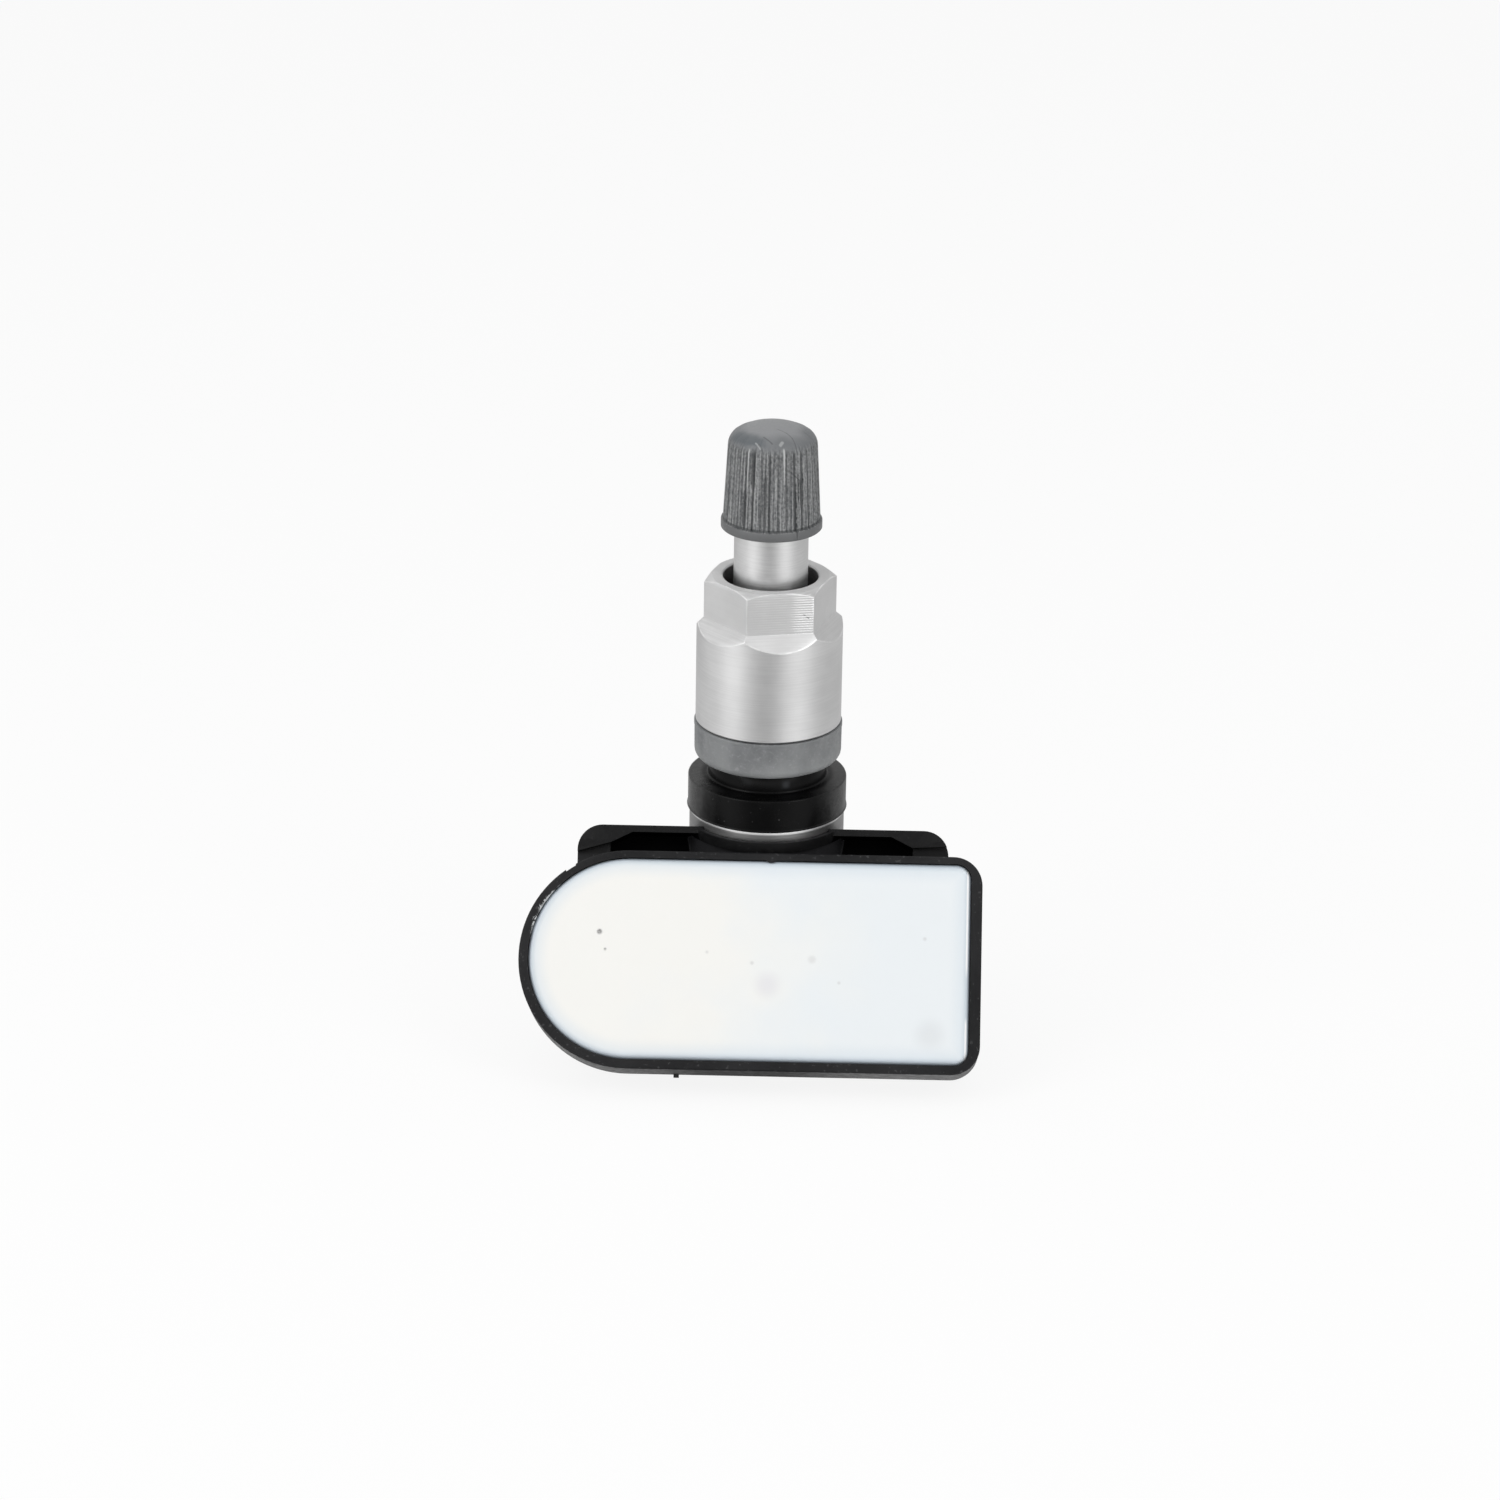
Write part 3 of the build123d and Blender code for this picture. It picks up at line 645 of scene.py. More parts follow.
def makeCap(settings):
    bottom, lip, edge, bore, apex = take(settings, "bottom", "lipRadius", "lipEdge", "bore", "apex")
    lipTop = bottom + settings["lipHeight"]
    skirt = lip - edge
    shoulder = skirt - settings["taper"]
    shoulderZ, rounding = bottom + settings["shoulderHeight"], settings["shoulderRound"]
    centre = shoulder - rounding
    drop = apex - shoulderZ
    dome = (centre ** 2 + drop ** 2 - rounding ** 2) / (2 * (drop - rounding))
    domeStart = math.degrees(math.atan2(dome - drop, centre))
    profile = [
        (bore, settings["roof"]),
        (bore, bottom + edge),
        (bore + edge, bottom),
        (lip - edge / 2, bottom),
        (lip, bottom + edge / 2),
        (lip, lipTop - edge),
        (lip - edge / 4, lipTop - edge / 2),
        (skirt, lipTop - edge / 4),
    ]
    rings = []
    for count in range(settings["skirtRings"] + 1):
        share = count / settings["skirtRings"]
        rings.append((skirt + (shoulder - skirt) * share, lipTop + (shoulderZ - lipTop) * share, 1.0))
    for angle, depth in settings["shoulderSteps"] + [(domeStart, 0)]:
        turn = math.radians(angle)
        rings.append((centre + rounding * math.cos(turn), shoulderZ + rounding * math.sin(turn), depth))
    for radius in settings["domeRings"]:
        rings.append((radius, apex - dome + math.sqrt(dome ** 2 - radius ** 2), 0))
    profile += [(radius, height) for radius, height, depth in rings]
    points = settings["ribs"] * settings["pointsPerRib"]
    piece = turnedPiece("ribbedCap", profile, points)
    bpy.ops.mesh.merge(type="CENTER")
    bpy.ops.transform.translate(value=(0, 0, (apex - profile[-1][1]) * mm))
    pick(piece, "edges", lambda item: item.is_boundary)
    bpy.ops.mesh.edge_face_add()

    def place(vertex):
        return round(math.atan2(vertex.co.y, vertex.co.x) / (2 * math.pi) * points) % points

    def press(test, depth, radius):
        pick(piece, "verts", lambda item: item.co.xy.length > (bore + 0.1) * mm and test(item))
        squeeze = 1 - depth / radius
        bpy.ops.transform.resize(value=(squeeze, squeeze, 1), center_override=(0, 0, 0))

    # press the grooves in, ring by ring, to one of a few depths each
    shape = settings["grooveShape"]
    draw = random.Random(settings["seed"])
    depths = settings["deepGrooves"], settings["faintGrooves"]
    wear = [draw.choice(depths[rib % 2]) for rib in range(settings["ribs"])]
    for radius, height, depth in rings:
        if depth == 0:
            continue
        for share in sorted(set(shape) - {0}):
            for kept in sorted(set(wear)):
                press(lambda item: abs(item.co.z - height * mm) < tiny
                      and shape[place(item) % len(shape)] == share
                      and wear[place(item) // len(shape)] == kept,
                      kept * depth * share * settings["grooveDepth"], radius)
    # some ribs are worn down, each over its own length
    for worn in draw.sample(range(settings["ribs"]), settings["wornRibs"]):
        low = draw.uniform(lipTop, shoulderZ - settings["wornBelow"])
        high = low + draw.uniform(*settings["wornRun"])
        press(lambda item: place(item) // len(shape) == worn and low * mm < item.co.z < high * mm,
              draw.uniform(*settings["wornDepth"]) * settings["grooveDepth"], skirt)
    # a forked crack among the ribs
    width = settings["crackWidth"]
    for azimuth, low, high in settings["cracks"]:
        press(lambda item: abs(math.degrees(math.atan2(item.co.x, -item.co.y)) - azimuth) < width
              and low * mm < item.co.z < high * mm, settings["grooveDepth"] * settings["crackDepth"], skirt)
    cleanUp()
    smooth(piece, settings["smoothAngle"])
    plastic = capPlastic(settings, lipTop, shoulderZ, skirt, shoulder)
    standFor(piece, "valve_cap", "cap", plastic)


makeCap(capSet)


# valve stem, with real threads under the nut and the cap
stemSet = {
    "sides": 96,
    "footRadius": boxes["valve_stem"][1].x,
    "footBottom": boxes["valve_stem"][0].z,
    "footTop": boxes["rubber_grommet"][0].z,
    "edge": 0.25,
    "nutThread": (4.05, 4.6, 1.0, 0.2, 11.4),  # core, crest, pitch, start and end
    "valveThread": (3.42, 3.82, 0.794, 27.9, 35.0),
    "shank": 3.82,
    "shankStart": 12.6,
    "shankEnd": 27.4,
    "runOut": 0.4,
    "top": boxes["valve_stem"][1].z,
    "topChamfer": 0.5,
    "bore": 2.6,
    "seat": (28.0, 30.0),
    "chamber": (2.05, 22.1),
    "air": 1.25,
    "screwHole": (2.0, -0.8),
    "threadSteps": 36,
    "toothRoot": 1.2,  # the tooth goes a little below the core
    "toothWidth": 0.86,  # of the pitch, at its root
    "toothTip": 0.16,  # of that, at the crest
    "smoothAngle": 32,
    "roughness": (0.34, 0.44),
    "tones": (0.35, 0.65),
    "dull": gray(0.71),
    "bright": gray(0.81),
    "lineTurns": 1.2,
    "lineRise": 8000,
    "lineDepth": 0.008 * mm,
    # painted shade on the foot's wall
    "footWallShade": gray(0.3),
    "footLine": -3.78 * mm,
}


def turnedAluminium(settings):
    finish = Finish("turnedAluminium", metallic=1.0)
    x, y, z = finish.place()
    lines = finish.noise(finish.around(settings["lineTurns"], settings["lineRise"]), detail=4)
    tone = finish.weigh(finish.speckle(160, detail=3), lines, 0.5)
    finish.color = finish.blend(finish.span(tone, *settings["tones"]), settings["dull"], settings["bright"])
    # the foot's wall is painted darker below its bright edge, as shade
    low = finish.span(z, settings["footLine"] - 0.1 * mm, settings["footLine"], 1, 0)
    finish.paint(low, settings["footWallShade"])
    rough = finish.vary(lines, *settings["roughness"])
    return finish.close(rough, finish.relief(lines, settings["lineDepth"]))


def threadRidge(settings, core, crest, pitch, start, end):
    # one tooth's section, swept up by a screw
    depth = (crest - core) * settings["toothRoot"] * mm
    middle = crest * mm - depth / 2
    bpy.ops.mesh.primitive_plane_add(size=1, location=(middle, 0, start * mm),
                                     rotation=(math.radians(90), 0, 0))
    ridge = bpy.context.object
    ridge.scale = (depth, settings["toothWidth"] * pitch * mm, 1)
    settle()
    bpy.ops.object.mode_set(mode="EDIT")
    pick(ridge, "verts", lambda item: item.co.x > middle)
    bpy.ops.transform.resize(value=(1, 1, settings["toothTip"]), center_override=(crest * mm, 0, start * mm))
    pickAll()
    bpy.ops.mesh.delete(type="ONLY_FACE")
    editOff()
    steps = settings["threadSteps"]
    applyModifier(ridge, "SCREW", axis="Z", angle=2 * math.pi, screw_offset=pitch * mm,
                  iterations=int((end - start) / pitch), steps=steps, render_steps=steps)
    editOn(ridge)
    pickAll()
    bpy.ops.mesh.fill_holes(sides=4)
    cleanUp()
    return ridge


def makeStem(settings):
    footRadius, footBottom, footTop = take(settings, "footRadius", "footBottom", "footTop")
    edge, runOut, chamfer = take(settings, "edge", "runOut", "topChamfer")
    nutCore, nutCrest, nutPitch, threadStart, threadEnd = settings["nutThread"]
    valveCore = settings["valveThread"][0]
    seatBottom, seatTop = settings["seat"]
    chamber, chamberBottom = settings["chamber"]
    hole, holeTop = settings["screwHole"]
    air, bore, shank, top = take(settings, "air", "bore", "shank", "top")
    profile = [
        (hole, footBottom),
        (footRadius - edge, footBottom),
        (footRadius, footBottom + edge),
        (footRadius, footTop - edge * 1.15),
        (footRadius - edge * 0.25, footTop - edge * 0.35),
        (footRadius - edge * 1.4, footTop),
        (nutCrest, footTop),
        (nutCrest, threadStart - runOut),
        (nutCore, threadStart),
        (nutCore, threadEnd + runOut),
        (shank, settings["shankStart"]),
        (shank, settings["shankEnd"]),
        (valveCore, settings["shankEnd"] + runOut),
        (valveCore, top - chamfer),
        (valveCore - chamfer, top),
        (bore, top),
        (bore, seatTop),
        (chamber, seatBottom),
        (chamber, chamberBottom),
        (air, chamberBottom - chamber + air),
        (air, holeTop + hole - air),
        (hole, holeTop),
    ]
    piece = closedTurn("threadedStem", profile, settings["sides"])
    ridges = [threadRidge(settings, *settings[key]) for key in ("nutThread", "valveThread")]
    choose(piece)
    for ridge in ridges:
        ridge.select_set(True)
    bpy.ops.object.join()
    smooth(piece, settings["smoothAngle"])
    standFor(piece, "valve_stem", "sensor_body", turnedAluminium(settings))


makeStem(stemSet)


# collar nut: the turned and milled solid with its sharp edges broken
nutSet = {
    "edge": 0.15 * mm,
    "sharp": 24,
    "smoothAngle": 32,
    "roughness": (0.36, 0.46),
    "boreRoughness": 0.3,  # added on the face round the bore
    "tones": (0.35, 0.65),
    "dull": gray(0.71),
    "bright": gray(0.81),
    "dirt": gray(0.2),
    # burnished metal, and painted glints on edges and cutter marks
    "burnishAndGlint": gray(0.97),
    "frontFlat": math.radians(10.6),
    "side": math.radians(30),  # half of the turn that one flat takes
    "acrossFlats": 12.0 * mm,
    "collarRadius": (boxes["collar_nut"][1].x - 0.02) * mm,
    "hexBottom": 17.5 * mm,
    "top": boxes["collar_nut"][1].z * mm,
    "chamferRadius": 6.06 * mm,
    "chamferSlope": math.radians(30),
    "lineTurns": 1.1,
    "lineRise": 8500,
    "lineDepth": 0.008 * mm,
    "millPitch": 0.26 * mm,
    "millDepth": 0.012 * mm,
    "boreRadius": 4.96 * mm,
    "boreShade": gray(0.4),
    "boreFront": (-3.4 * mm, -1.2 * mm),  # the painted shade is lighter towards the front
    "flatStart": 17.6 * mm,
    "flatEnd": 21.6 * mm,
    "flatSide": (1.5 * mm, 3.2 * mm),  # the cutter marks, painted bright as highlight, grow towards one edge of the front flat
    "cornerSide": (-2 * mm, 3 * mm),  # and the painted glints on the corners are brighter there
    "nicks": [((3.42, 19.56), (3.66, 19.48)), ((3.74, 19.28), (4.02, 19.16))],  # ends across and up
    "nickWidth": 0.16,
}


def nutAluminium(settings):
    finish = Finish("nutAluminium", metallic=1.0)
    lines = finish.noise(finish.around(settings["lineTurns"], settings["lineRise"]), detail=4)
    cloud = finish.speckle(140, detail=3)
    x, y, z = finish.place()
    top, flat, side = settings["top"], settings["acrossFlats"] / 2, settings["side"]
    wave = finish.calc("SINE", finish.times(z, 2 * math.pi / settings["millPitch"]))
    onFlat = finish.times(finish.span(z, settings["flatStart"], settings["flatStart"] + 0.2 * mm),
                         finish.span(z, settings["flatEnd"], settings["flatEnd"] + 0.2 * mm, 1, 0))
    patchy = finish.span(finish.noise(finish.stretch((240, 240, 90)), detail=2), 0.42, 0.62, 0.05, 0.35)
    turn = finish.azimuth()
    front = finish.near(turn, settings["frontFlat"], math.radians(29), math.radians(30.5))
    cutter = finish.times(front, finish.span(x, *settings["flatSide"]))
    marks = finish.times(wave, onFlat, finish.calc("MAXIMUM", patchy, cutter))
    # the turning lines are milled away on the flats
    milled = finish.span(onFlat, 0, 1, 1, 0.3)
    lines = finish.line(finish.less(lines, 0.5), milled, 0.5)
    tone = finish.weigh(cloud, lines, 0.6)
    finish.color = finish.blend(finish.span(tone, *settings["tones"]), settings["dull"], settings["bright"])
    # milling marks, painted bright as highlight towards one edge
    bright = finish.times(finish.span(marks, 0.2, 0.9, 0, 0.9), cutter)
    finish.paint(bright, settings["burnishAndGlint"])
    # the edges of the hexagon and of its run-outs get painted glints, here and there
    radius = finish.reach(x, y)
    fold = finish.calc("WRAP", finish.less(turn, settings["frontFlat"]), side, -side)
    along = finish.times(radius, finish.calc("COSINE", fold))
    corner = finish.span(finish.calc("ABSOLUTE", fold), math.radians(29.0), math.radians(29.6))
    corner = finish.times(corner, onFlat, finish.span(x, *settings["cornerSide"], 0.2, 1))
    cone = finish.line(finish.less(radius, settings["chamferRadius"]),
                       math.tan(settings["chamferSlope"]), z)
    brow = finish.times(finish.near(cone, top, 0.04 * mm, 0.12 * mm),
                       finish.near(along, flat, 0.05 * mm, 0.1 * mm))
    runOut = finish.near(finish.plus(along, z), flat + settings["hexBottom"], 0.05 * mm, 0.12 * mm)
    hollow = finish.times(runOut, finish.near(radius, settings["collarRadius"], 0.04 * mm, 0.1 * mm))
    edges = finish.calc("MAXIMUM", finish.calc("MAXIMUM", corner, brow), hollow)
    kept = finish.span(finish.speckle(420, detail=3), 0.45, 0.62, 0.1, 0.9)
    finish.paint(finish.times(edges, kept), settings["burnishAndGlint"])
    # the bore is painted dark: shade inside it, with some dirt
    inside = finish.span(radius, settings["boreRadius"] - 0.05 * mm, settings["boreRadius"], 1, 0)
    inside = finish.times(inside, finish.span(y, *settings["boreFront"], 0.1, 1))
    finish.paint(inside, settings["boreShade"])
    # two dirty nicks on the front flat
    ragged = finish.span(finish.speckle(5200, detail=2), 0.4, 0.56, 0.3, 0.9)
    for start, end in settings["nicks"]:
        nick = finish.times(finish.stroke(x, z, start, end, settings["nickWidth"] / 2), front)
        finish.paint(finish.times(nick, ragged), settings["dirt"])
    # the face round the bore is duller than the rest
    rough = finish.vary(lines, *settings["roughness"])
    rough = finish.plus(rough, finish.span(z, top - 0.4 * mm, top - 0.1 * mm, 0, settings["boreRoughness"]))
    turned = finish.relief(lines, settings["lineDepth"])
    return finish.close(rough, finish.relief(marks, settings["millDepth"], 1.0, turned))


def makeNut(settings):
    piece = cadCopy("collar_nut", "collarNut")
    breakEdges(piece, settings)
    smooth(piece, settings["smoothAngle"])
    standFor(piece, "collar_nut", "nut", nutAluminium(settings))


makeNut(nutSet)


# potting: poured level, with a soft edge, faint waves and two bubbles
pottingSet = {
    "left": boxes["potting"][0].x + 0.01,
    "right": boxes["potting"][1].x - 0.01,
    "bottom": -25.12,
    "top": -4.34,
    "floor": 2.34,
    "level": 8.74,
    "corner": 1.6,
    "cornerSteps": 8,
    "roundSteps": 40,
    "roundShare": 0.999,  # a little short of a whole half circle
    "edge": 0.6,
    "edgeSteps": 6,
    "smoothAngle": 40,
    "grid": 1.8,
    "waveHeight": 0.006 * mm,
    "waveSize": 9 * mm,
    "roughness": (0.3, 0.4),
    "relief": (0.04 * mm, 0.5),  # depth and strength
    "warm": (0.87, 0.865, 0.835, 1),
    "cool": (0.8, 0.835, 0.855, 1),
    # painted shade along the rim, with the black wall showing through
    "rimShadeWide": (0.66, 0.73, 0.785, 1),
    "rimShade": (0.44, 0.505, 0.57, 1),
    # painted highlight
    "highlightLine": gray(0.96),
    "wideShadeReach": (0.1 * mm, 2.4 * mm),  # in from the rim
    "shadeReach": (0.1 * mm, 0.9 * mm),
    "highlightInset": 0.38,
    "highlightEnds": (-16.5, -21.0),  # of its upper run and its lower run
    "warmSide": -11 * mm,
    "coolSide": 7 * mm,
    "bubbles": [(-16.83, -12.04, 0.25), (-16.22, -13.83, 0.1)],  # across, up, radius
    "bubbleDip": 0.1,  # of the radius, below the surface
    "spotsAndPitShade": [
        # place, inner and outer reach, strength, colour
        # painted shade in the first bubble's pit
        ((-16.83, -12.04), 0.15, 0.42, 0.7, gray(0.42)),
        ((17.26, -21.99), 0.3, 2.3, 0.35, (0.62, 0.64, 0.66, 1)),
        ((0.48, -17.2), 0.2, 2.0, 0.3, (0.6, 0.58, 0.66, 1)),
        # painted shade in the second bubble's pit
        ((-16.22, -13.83), 0.05, 0.25, 0.6, gray(0.4)),
        ((-5.75, -13.93), 0.05, 0.26, 0.35, gray(0.5)),
        ((-1.11, -14.96), 0.05, 0.3, 0.4, gray(0.5)),
        ((5.04, -14.48), 0.15, 0.6, 0.4, gray(0.6)),
        ((7.85, -16.84), 0.05, 0.26, 0.35, gray(0.5)),
        ((16.58, -12.12), 0.05, 0.3, 0.4, gray(0.5)),
    ],
}


def pottingResin(settings):
    finish = Finish("pottingResin")
    x, up, out = finish.onFace()
    cloud = finish.speckle(55, detail=3)
    drift = finish.plus(x, finish.vary(cloud, -8 * mm, 8 * mm))
    finish.color = finish.blend(finish.span(drift, settings["warmSide"], settings["coolSide"]),
                                settings["warm"], settings["cool"])
    # painted shade along the rim, with the black wall showing through the thin edge a little
    radius = (settings["top"] - settings["bottom"]) / 2 * mm
    middle = (settings["top"] + settings["bottom"]) / 2 * mm
    along = finish.calc("MINIMUM", finish.less(x, settings["left"] * mm + radius), 0)
    across = finish.less(up, middle)
    toRound = finish.less(radius, finish.reach(along, across))
    toRight = finish.less(settings["right"] * mm, x)
    inside = finish.calc("MINIMUM", toRound, toRight)
    finish.paint(finish.span(inside, *settings["wideShadeReach"], 0.7, 0), settings["rimShadeWide"])
    finish.paint(finish.span(inside, *settings["shadeReach"], 0.8, 0), settings["rimShade"])
    # a painted highlight line along the resin's edge by the right wall
    upper, lower = [value * mm for value in settings["highlightEnds"]]
    runs = finish.calc("MAXIMUM", finish.span(up, upper, upper + 2 * mm),
                       finish.span(up, lower, lower + 1 * mm, 1, 0))
    highlightLine = finish.times(finish.near(toRight, settings["highlightInset"] * mm, 0.02 * mm, 0.16 * mm), runs)
    finish.paint(highlightLine, settings["highlightLine"])
    # stains, and painted shade in the bubbles' pits
    for place, inner, outer, strength, shade in settings["spotsAndPitShade"]:
        spot = finish.span(finish.away(x, up, place), inner * mm, outer * mm, strength, 0)
        finish.paint(spot, shade)
    return finish.close(finish.vary(cloud, *settings["roughness"]), finish.relief(cloud, *settings["relief"]))


def makePotting(settings):
    left, right, bottom, top = take(settings, "left", "right", "bottom", "top")
    wide, tall = right - left, top - bottom
    middle, level = (left + right) / 2 * mm, settings["level"] * mm
    bpy.ops.mesh.primitive_plane_add(size=1)
    piece = bpy.context.object
    piece.name = "pottingFill"
    piece.scale = (wide * mm, tall * mm, 1)
    piece.location = (middle, (top + bottom) / 2 * mm, settings["floor"] * mm)
    settle()
    bpy.ops.object.mode_set(mode="EDIT")
    pick(piece, "verts", lambda item: item.co.x < middle)
    roundEnd = tall / 2 * settings["roundShare"]
    bpy.ops.mesh.bevel(offset=roundEnd * mm, segments=settings["roundSteps"], affect="VERTICES",
                       clamp_overlap=False)
    pick(piece, "verts", lambda item: item.co.x > right * mm - tiny)
    bpy.ops.mesh.bevel(offset=settings["corner"] * mm, segments=settings["cornerSteps"], affect="VERTICES",
                       clamp_overlap=False)
    pickAll()
    depth = settings["level"] - settings["floor"]
    bpy.ops.mesh.extrude_region_move(TRANSFORM_OT_translate={"value": (0, 0, depth * mm)})

    def atTop(item):
        return abs(item.co.z - level) < tiny

    pick(piece, "edges", lambda item: all(atTop(end) for end in item.verts) and any(
        abs(face.normal.z) < 0.5 for face in item.link_faces))
    bpy.ops.mesh.bevel(offset=settings["edge"] * mm, segments=settings["edgeSteps"], clamp_overlap=False)
    # cut the top into a grid, so that it can wave
    step = settings["grid"]
    for count in range(1, int(wide / step) + 1):
        pickAll()
        bpy.ops.mesh.bisect(plane_co=((left + count * step) * mm, 0, 0), plane_no=(1, 0, 0))
    for count in range(1, int(tall / step) + 1):
        pickAll()
        bpy.ops.mesh.bisect(plane_co=(0, (bottom + count * step) * mm, 0), plane_no=(0, 1, 0))
    cleanUp()
    waves = bpy.data.textures.new("pottingWaves", "CLOUDS")
    waves.noise_scale = settings["waveSize"]
    waves.noise_depth = 0
    surface = piece.vertex_groups.new(name="surface")
    surface.add([item.index for item in piece.data.vertices if atTop(item)], 1.0, "REPLACE")
    applyModifier(piece, "DISPLACE", texture=waves, strength=settings["waveHeight"], mid_level=0.5,
                  direction="Z", vertex_group="surface")
    for across, up, radius in settings["bubbles"]:
        middle = (across * mm, up * mm, level - radius * settings["bubbleDip"] * mm)
        bpy.ops.mesh.primitive_uv_sphere_add(segments=20, ring_count=12, radius=radius * mm, location=middle)
        bubble = bpy.context.object
        applyModifier(piece, "BOOLEAN", object=bubble, operation="DIFFERENCE", solver="EXACT")
        bpy.data.objects.remove(bubble)
    # lean it back into the housing
    piece.rotation_euler = (math.radians(90) - houseSet["lean"], 0, 0)
    piece.location = (0, 0, houseSet["base"])
    choose(piece)
    settle()
    smooth(piece, settings["smoothAngle"])
    standFor(piece, "potting", "sensor_body", pottingResin(settings))


makePotting(pottingSet)


# housing: the moulded solid with its edges softened
housingSet = {
    "edge": 0.09 * mm,
    "sharp": 28,
    "flat": 0.8,
    "smoothAngle": 35,
    "roughness": (0.42, 0.58),
    "relief": (0.05 * mm, 0.6),  # depth and strength
    "dark": (0.008, 0.008, 0.0088, 1),
    "light": (0.016, 0.016, 0.0172, 1),
    "fibre": (0.06, 0.06, 0.062, 1),
    # painted shade in the recesses and pockets
    "recessShade": (0.002, 0.002, 0.0022, 1),
    "recessStart": -3.7 * mm,
    "scuffed": (0.045, 0.045, 0.046, 1),
    "scuffedFrom": 8.6 * mm,
    "scuffedBelow": -8.0 * mm,
    "spill": (0.6, 0.62, 0.63, 1),
    "spillMiddle": (-13.75, -14.73),  # of the round wall that it ran over
    "spillRadius": 10.4,
    "spillWidth": 0.44,
    "spillRun": (-13.2, -11.0, -9.0, -6.8),  # where it starts, is whole and fades again, upwards
    "pocket": (-16.1, 15.3, -3.7, -1.15, 1.8, 5.2),  # left, right, low, high, back and front
    "pocketShine": 0.02,
    "shine": 0.22,
    "fence": (8.2, 8.56, -9.2, -4.45),  # radii and heights about the stem
    # painted sheen on the fence
    "fenceSheen": (0.026, 0.026, 0.028, 1),
}


def housingPlastic(settings):
    finish = Finish("housingPlastic")
    grain = finish.speckle(1500, detail=4)
    cloud = finish.speckle(120, detail=3)
    fleck = finish.speckle(2600, detail=1)
    finish.color = finish.blend(finish.vary(cloud), settings["dark"], settings["light"])
    finish.paint(finish.span(fleck, 0.66, 0.72, 0, 0.6), settings["fibre"])
    x, up, out = finish.onFace()
    # painted shade makes the recesses above the face blacker; the outer walls are scuffed
    recessShade = finish.span(up, settings["recessStart"], settings["recessStart"] + 0.5 * mm, 0, 0.8)
    finish.paint(recessShade, settings["recessShade"])
    walls = finish.times(finish.span(out, settings["scuffedFrom"] - 0.3 * mm, settings["scuffedFrom"], 1, 0),
                        finish.span(up, settings["scuffedBelow"] - 2 * mm, settings["scuffedBelow"], 1, 0))
    pebble = finish.speckle(3400, detail=2)
    finish.paint(finish.times(walls, finish.span(pebble, 0.3, 0.75)), settings["scuffed"])
    # the fence before the foot is painted a little paler, as sheen
    stemX, stemY, height = finish.place()
    inner, outer, low, high = [value * mm for value in settings["fence"]]
    fence = finish.times(finish.between(finish.reach(stemX, stemY), inner, outer, 0.1 * (outer - inner)),
                         finish.between(height, low, high, 0.02 * (high - low)),
                         finish.span(stemY, -1 * mm, 0, 1, 0))
    finish.paint(fence, settings["fenceSheen"])
    # the two pockets are painted near black as shade, and shine little
    left, right, low, high, back, front = [value * mm for value in settings["pocket"]]
    pocket = finish.times(finish.between(x, left, right, 0.05 * mm), finish.between(up, low, high, 0.05 * mm),
                          finish.between(out, back, front, 0.1 * mm), finish.span(fence, 0, 1, 1, 0))
    finish.paint(pocket, settings["recessShade"])
    finish.plug(finish.shader.inputs["Specular IOR Level"],
                finish.span(pocket, 0, 1, settings["shine"], settings["pocketShine"]))
    # white resin ran over the round wall's inner edge
    start, whole, fades, end = [value * mm for value in settings["spillRun"]]
    run = finish.times(finish.span(up, start, whole), finish.span(up, fades, end, 1, 0))
    ragged = finish.speckle(1100, detail=5, roughness=0.75)
    width = finish.times(finish.span(ragged, 0.36, 0.62, 0, settings["spillWidth"] * mm), run)
    reach = finish.plus(width, settings["spillRadius"] * mm)
    over = finish.less(reach, finish.away(x, up, settings["spillMiddle"]))
    middle, level = settings["spillMiddle"][0] * mm, pottingSet["level"] * mm
    spill = finish.times(finish.span(over, 0, 0.14 * mm), finish.span(x, middle - 1 * mm, middle, 1, 0),
                         finish.span(out, level - 0.5 * mm, level - 0.3 * mm),
                         finish.span(grain, 0.35, 0.65, 0.35, 0.85))
    finish.paint(spill, settings["spill"])
    return finish.close(finish.vary(grain, *settings["roughness"]), finish.relief(grain, *settings["relief"]))


def makeHousing(settings):
    piece = cadCopy("housing", "mouldedHousing")
    editOn(piece)
    pickAll()
    bpy.ops.mesh.dissolve_limited(angle_limit=math.radians(settings["flat"]))
    editOff()
    breakEdges(piece, settings)
    applyModifier(piece, "TRIANGULATE")
    smooth(piece, settings["smoothAngle"])
    standFor(piece, "housing", "sensor_body", housingPlastic(settings))


makeHousing(housingSet)


# rubber grommet: flange on the foot, neck up into the rim's hole
grommetSet = {
    "sides": 128,
    "bore": 4.65,
    "lipRadius": boxes["rubber_grommet"][1].x,
    "bottom": boxes["rubber_grommet"][0].z,
    "top": boxes["rubber_grommet"][1].z,
    "lip": 0.09,
    "lipHeight": 0.3,
    "lipEdge": 0.08,
    "edge": 0.18,
    "neck": 6.13,
    "neckFoot": 0.25,
    "neckTop": 5.91,
    "stepHeight": 1.88,
    "stepEdge": 0.08,
    "smoothAngle": 50,
    "roughness": (0.24, 0.34),
    "relief": (0.015 * mm, 0.5),  # depth and strength
    "dark": (0.002, 0.002, 0.0021, 1),
    "light": (0.0045, 0.0045, 0.0047, 1),
    "dust": gray(0.1),
    "sheen": gray(0.044),
    "sheenTurn": (math.radians(32), math.radians(66)),  # the flange is painted paler towards its two sides: sheen, with some dust
    "sheenRadius": (6.5 * mm, 7.2 * mm),
    # painted sheen on the neck
    "neckSheen": (0.05, 0.053, 0.058, 1),
    "neckSheenPatches": [(-19, 8, 1.25, 0.45), (19, 6, 0.95, 0.8)],  # azimuth, half width, height, strength
    "shine": (0.11, 0.22),
}


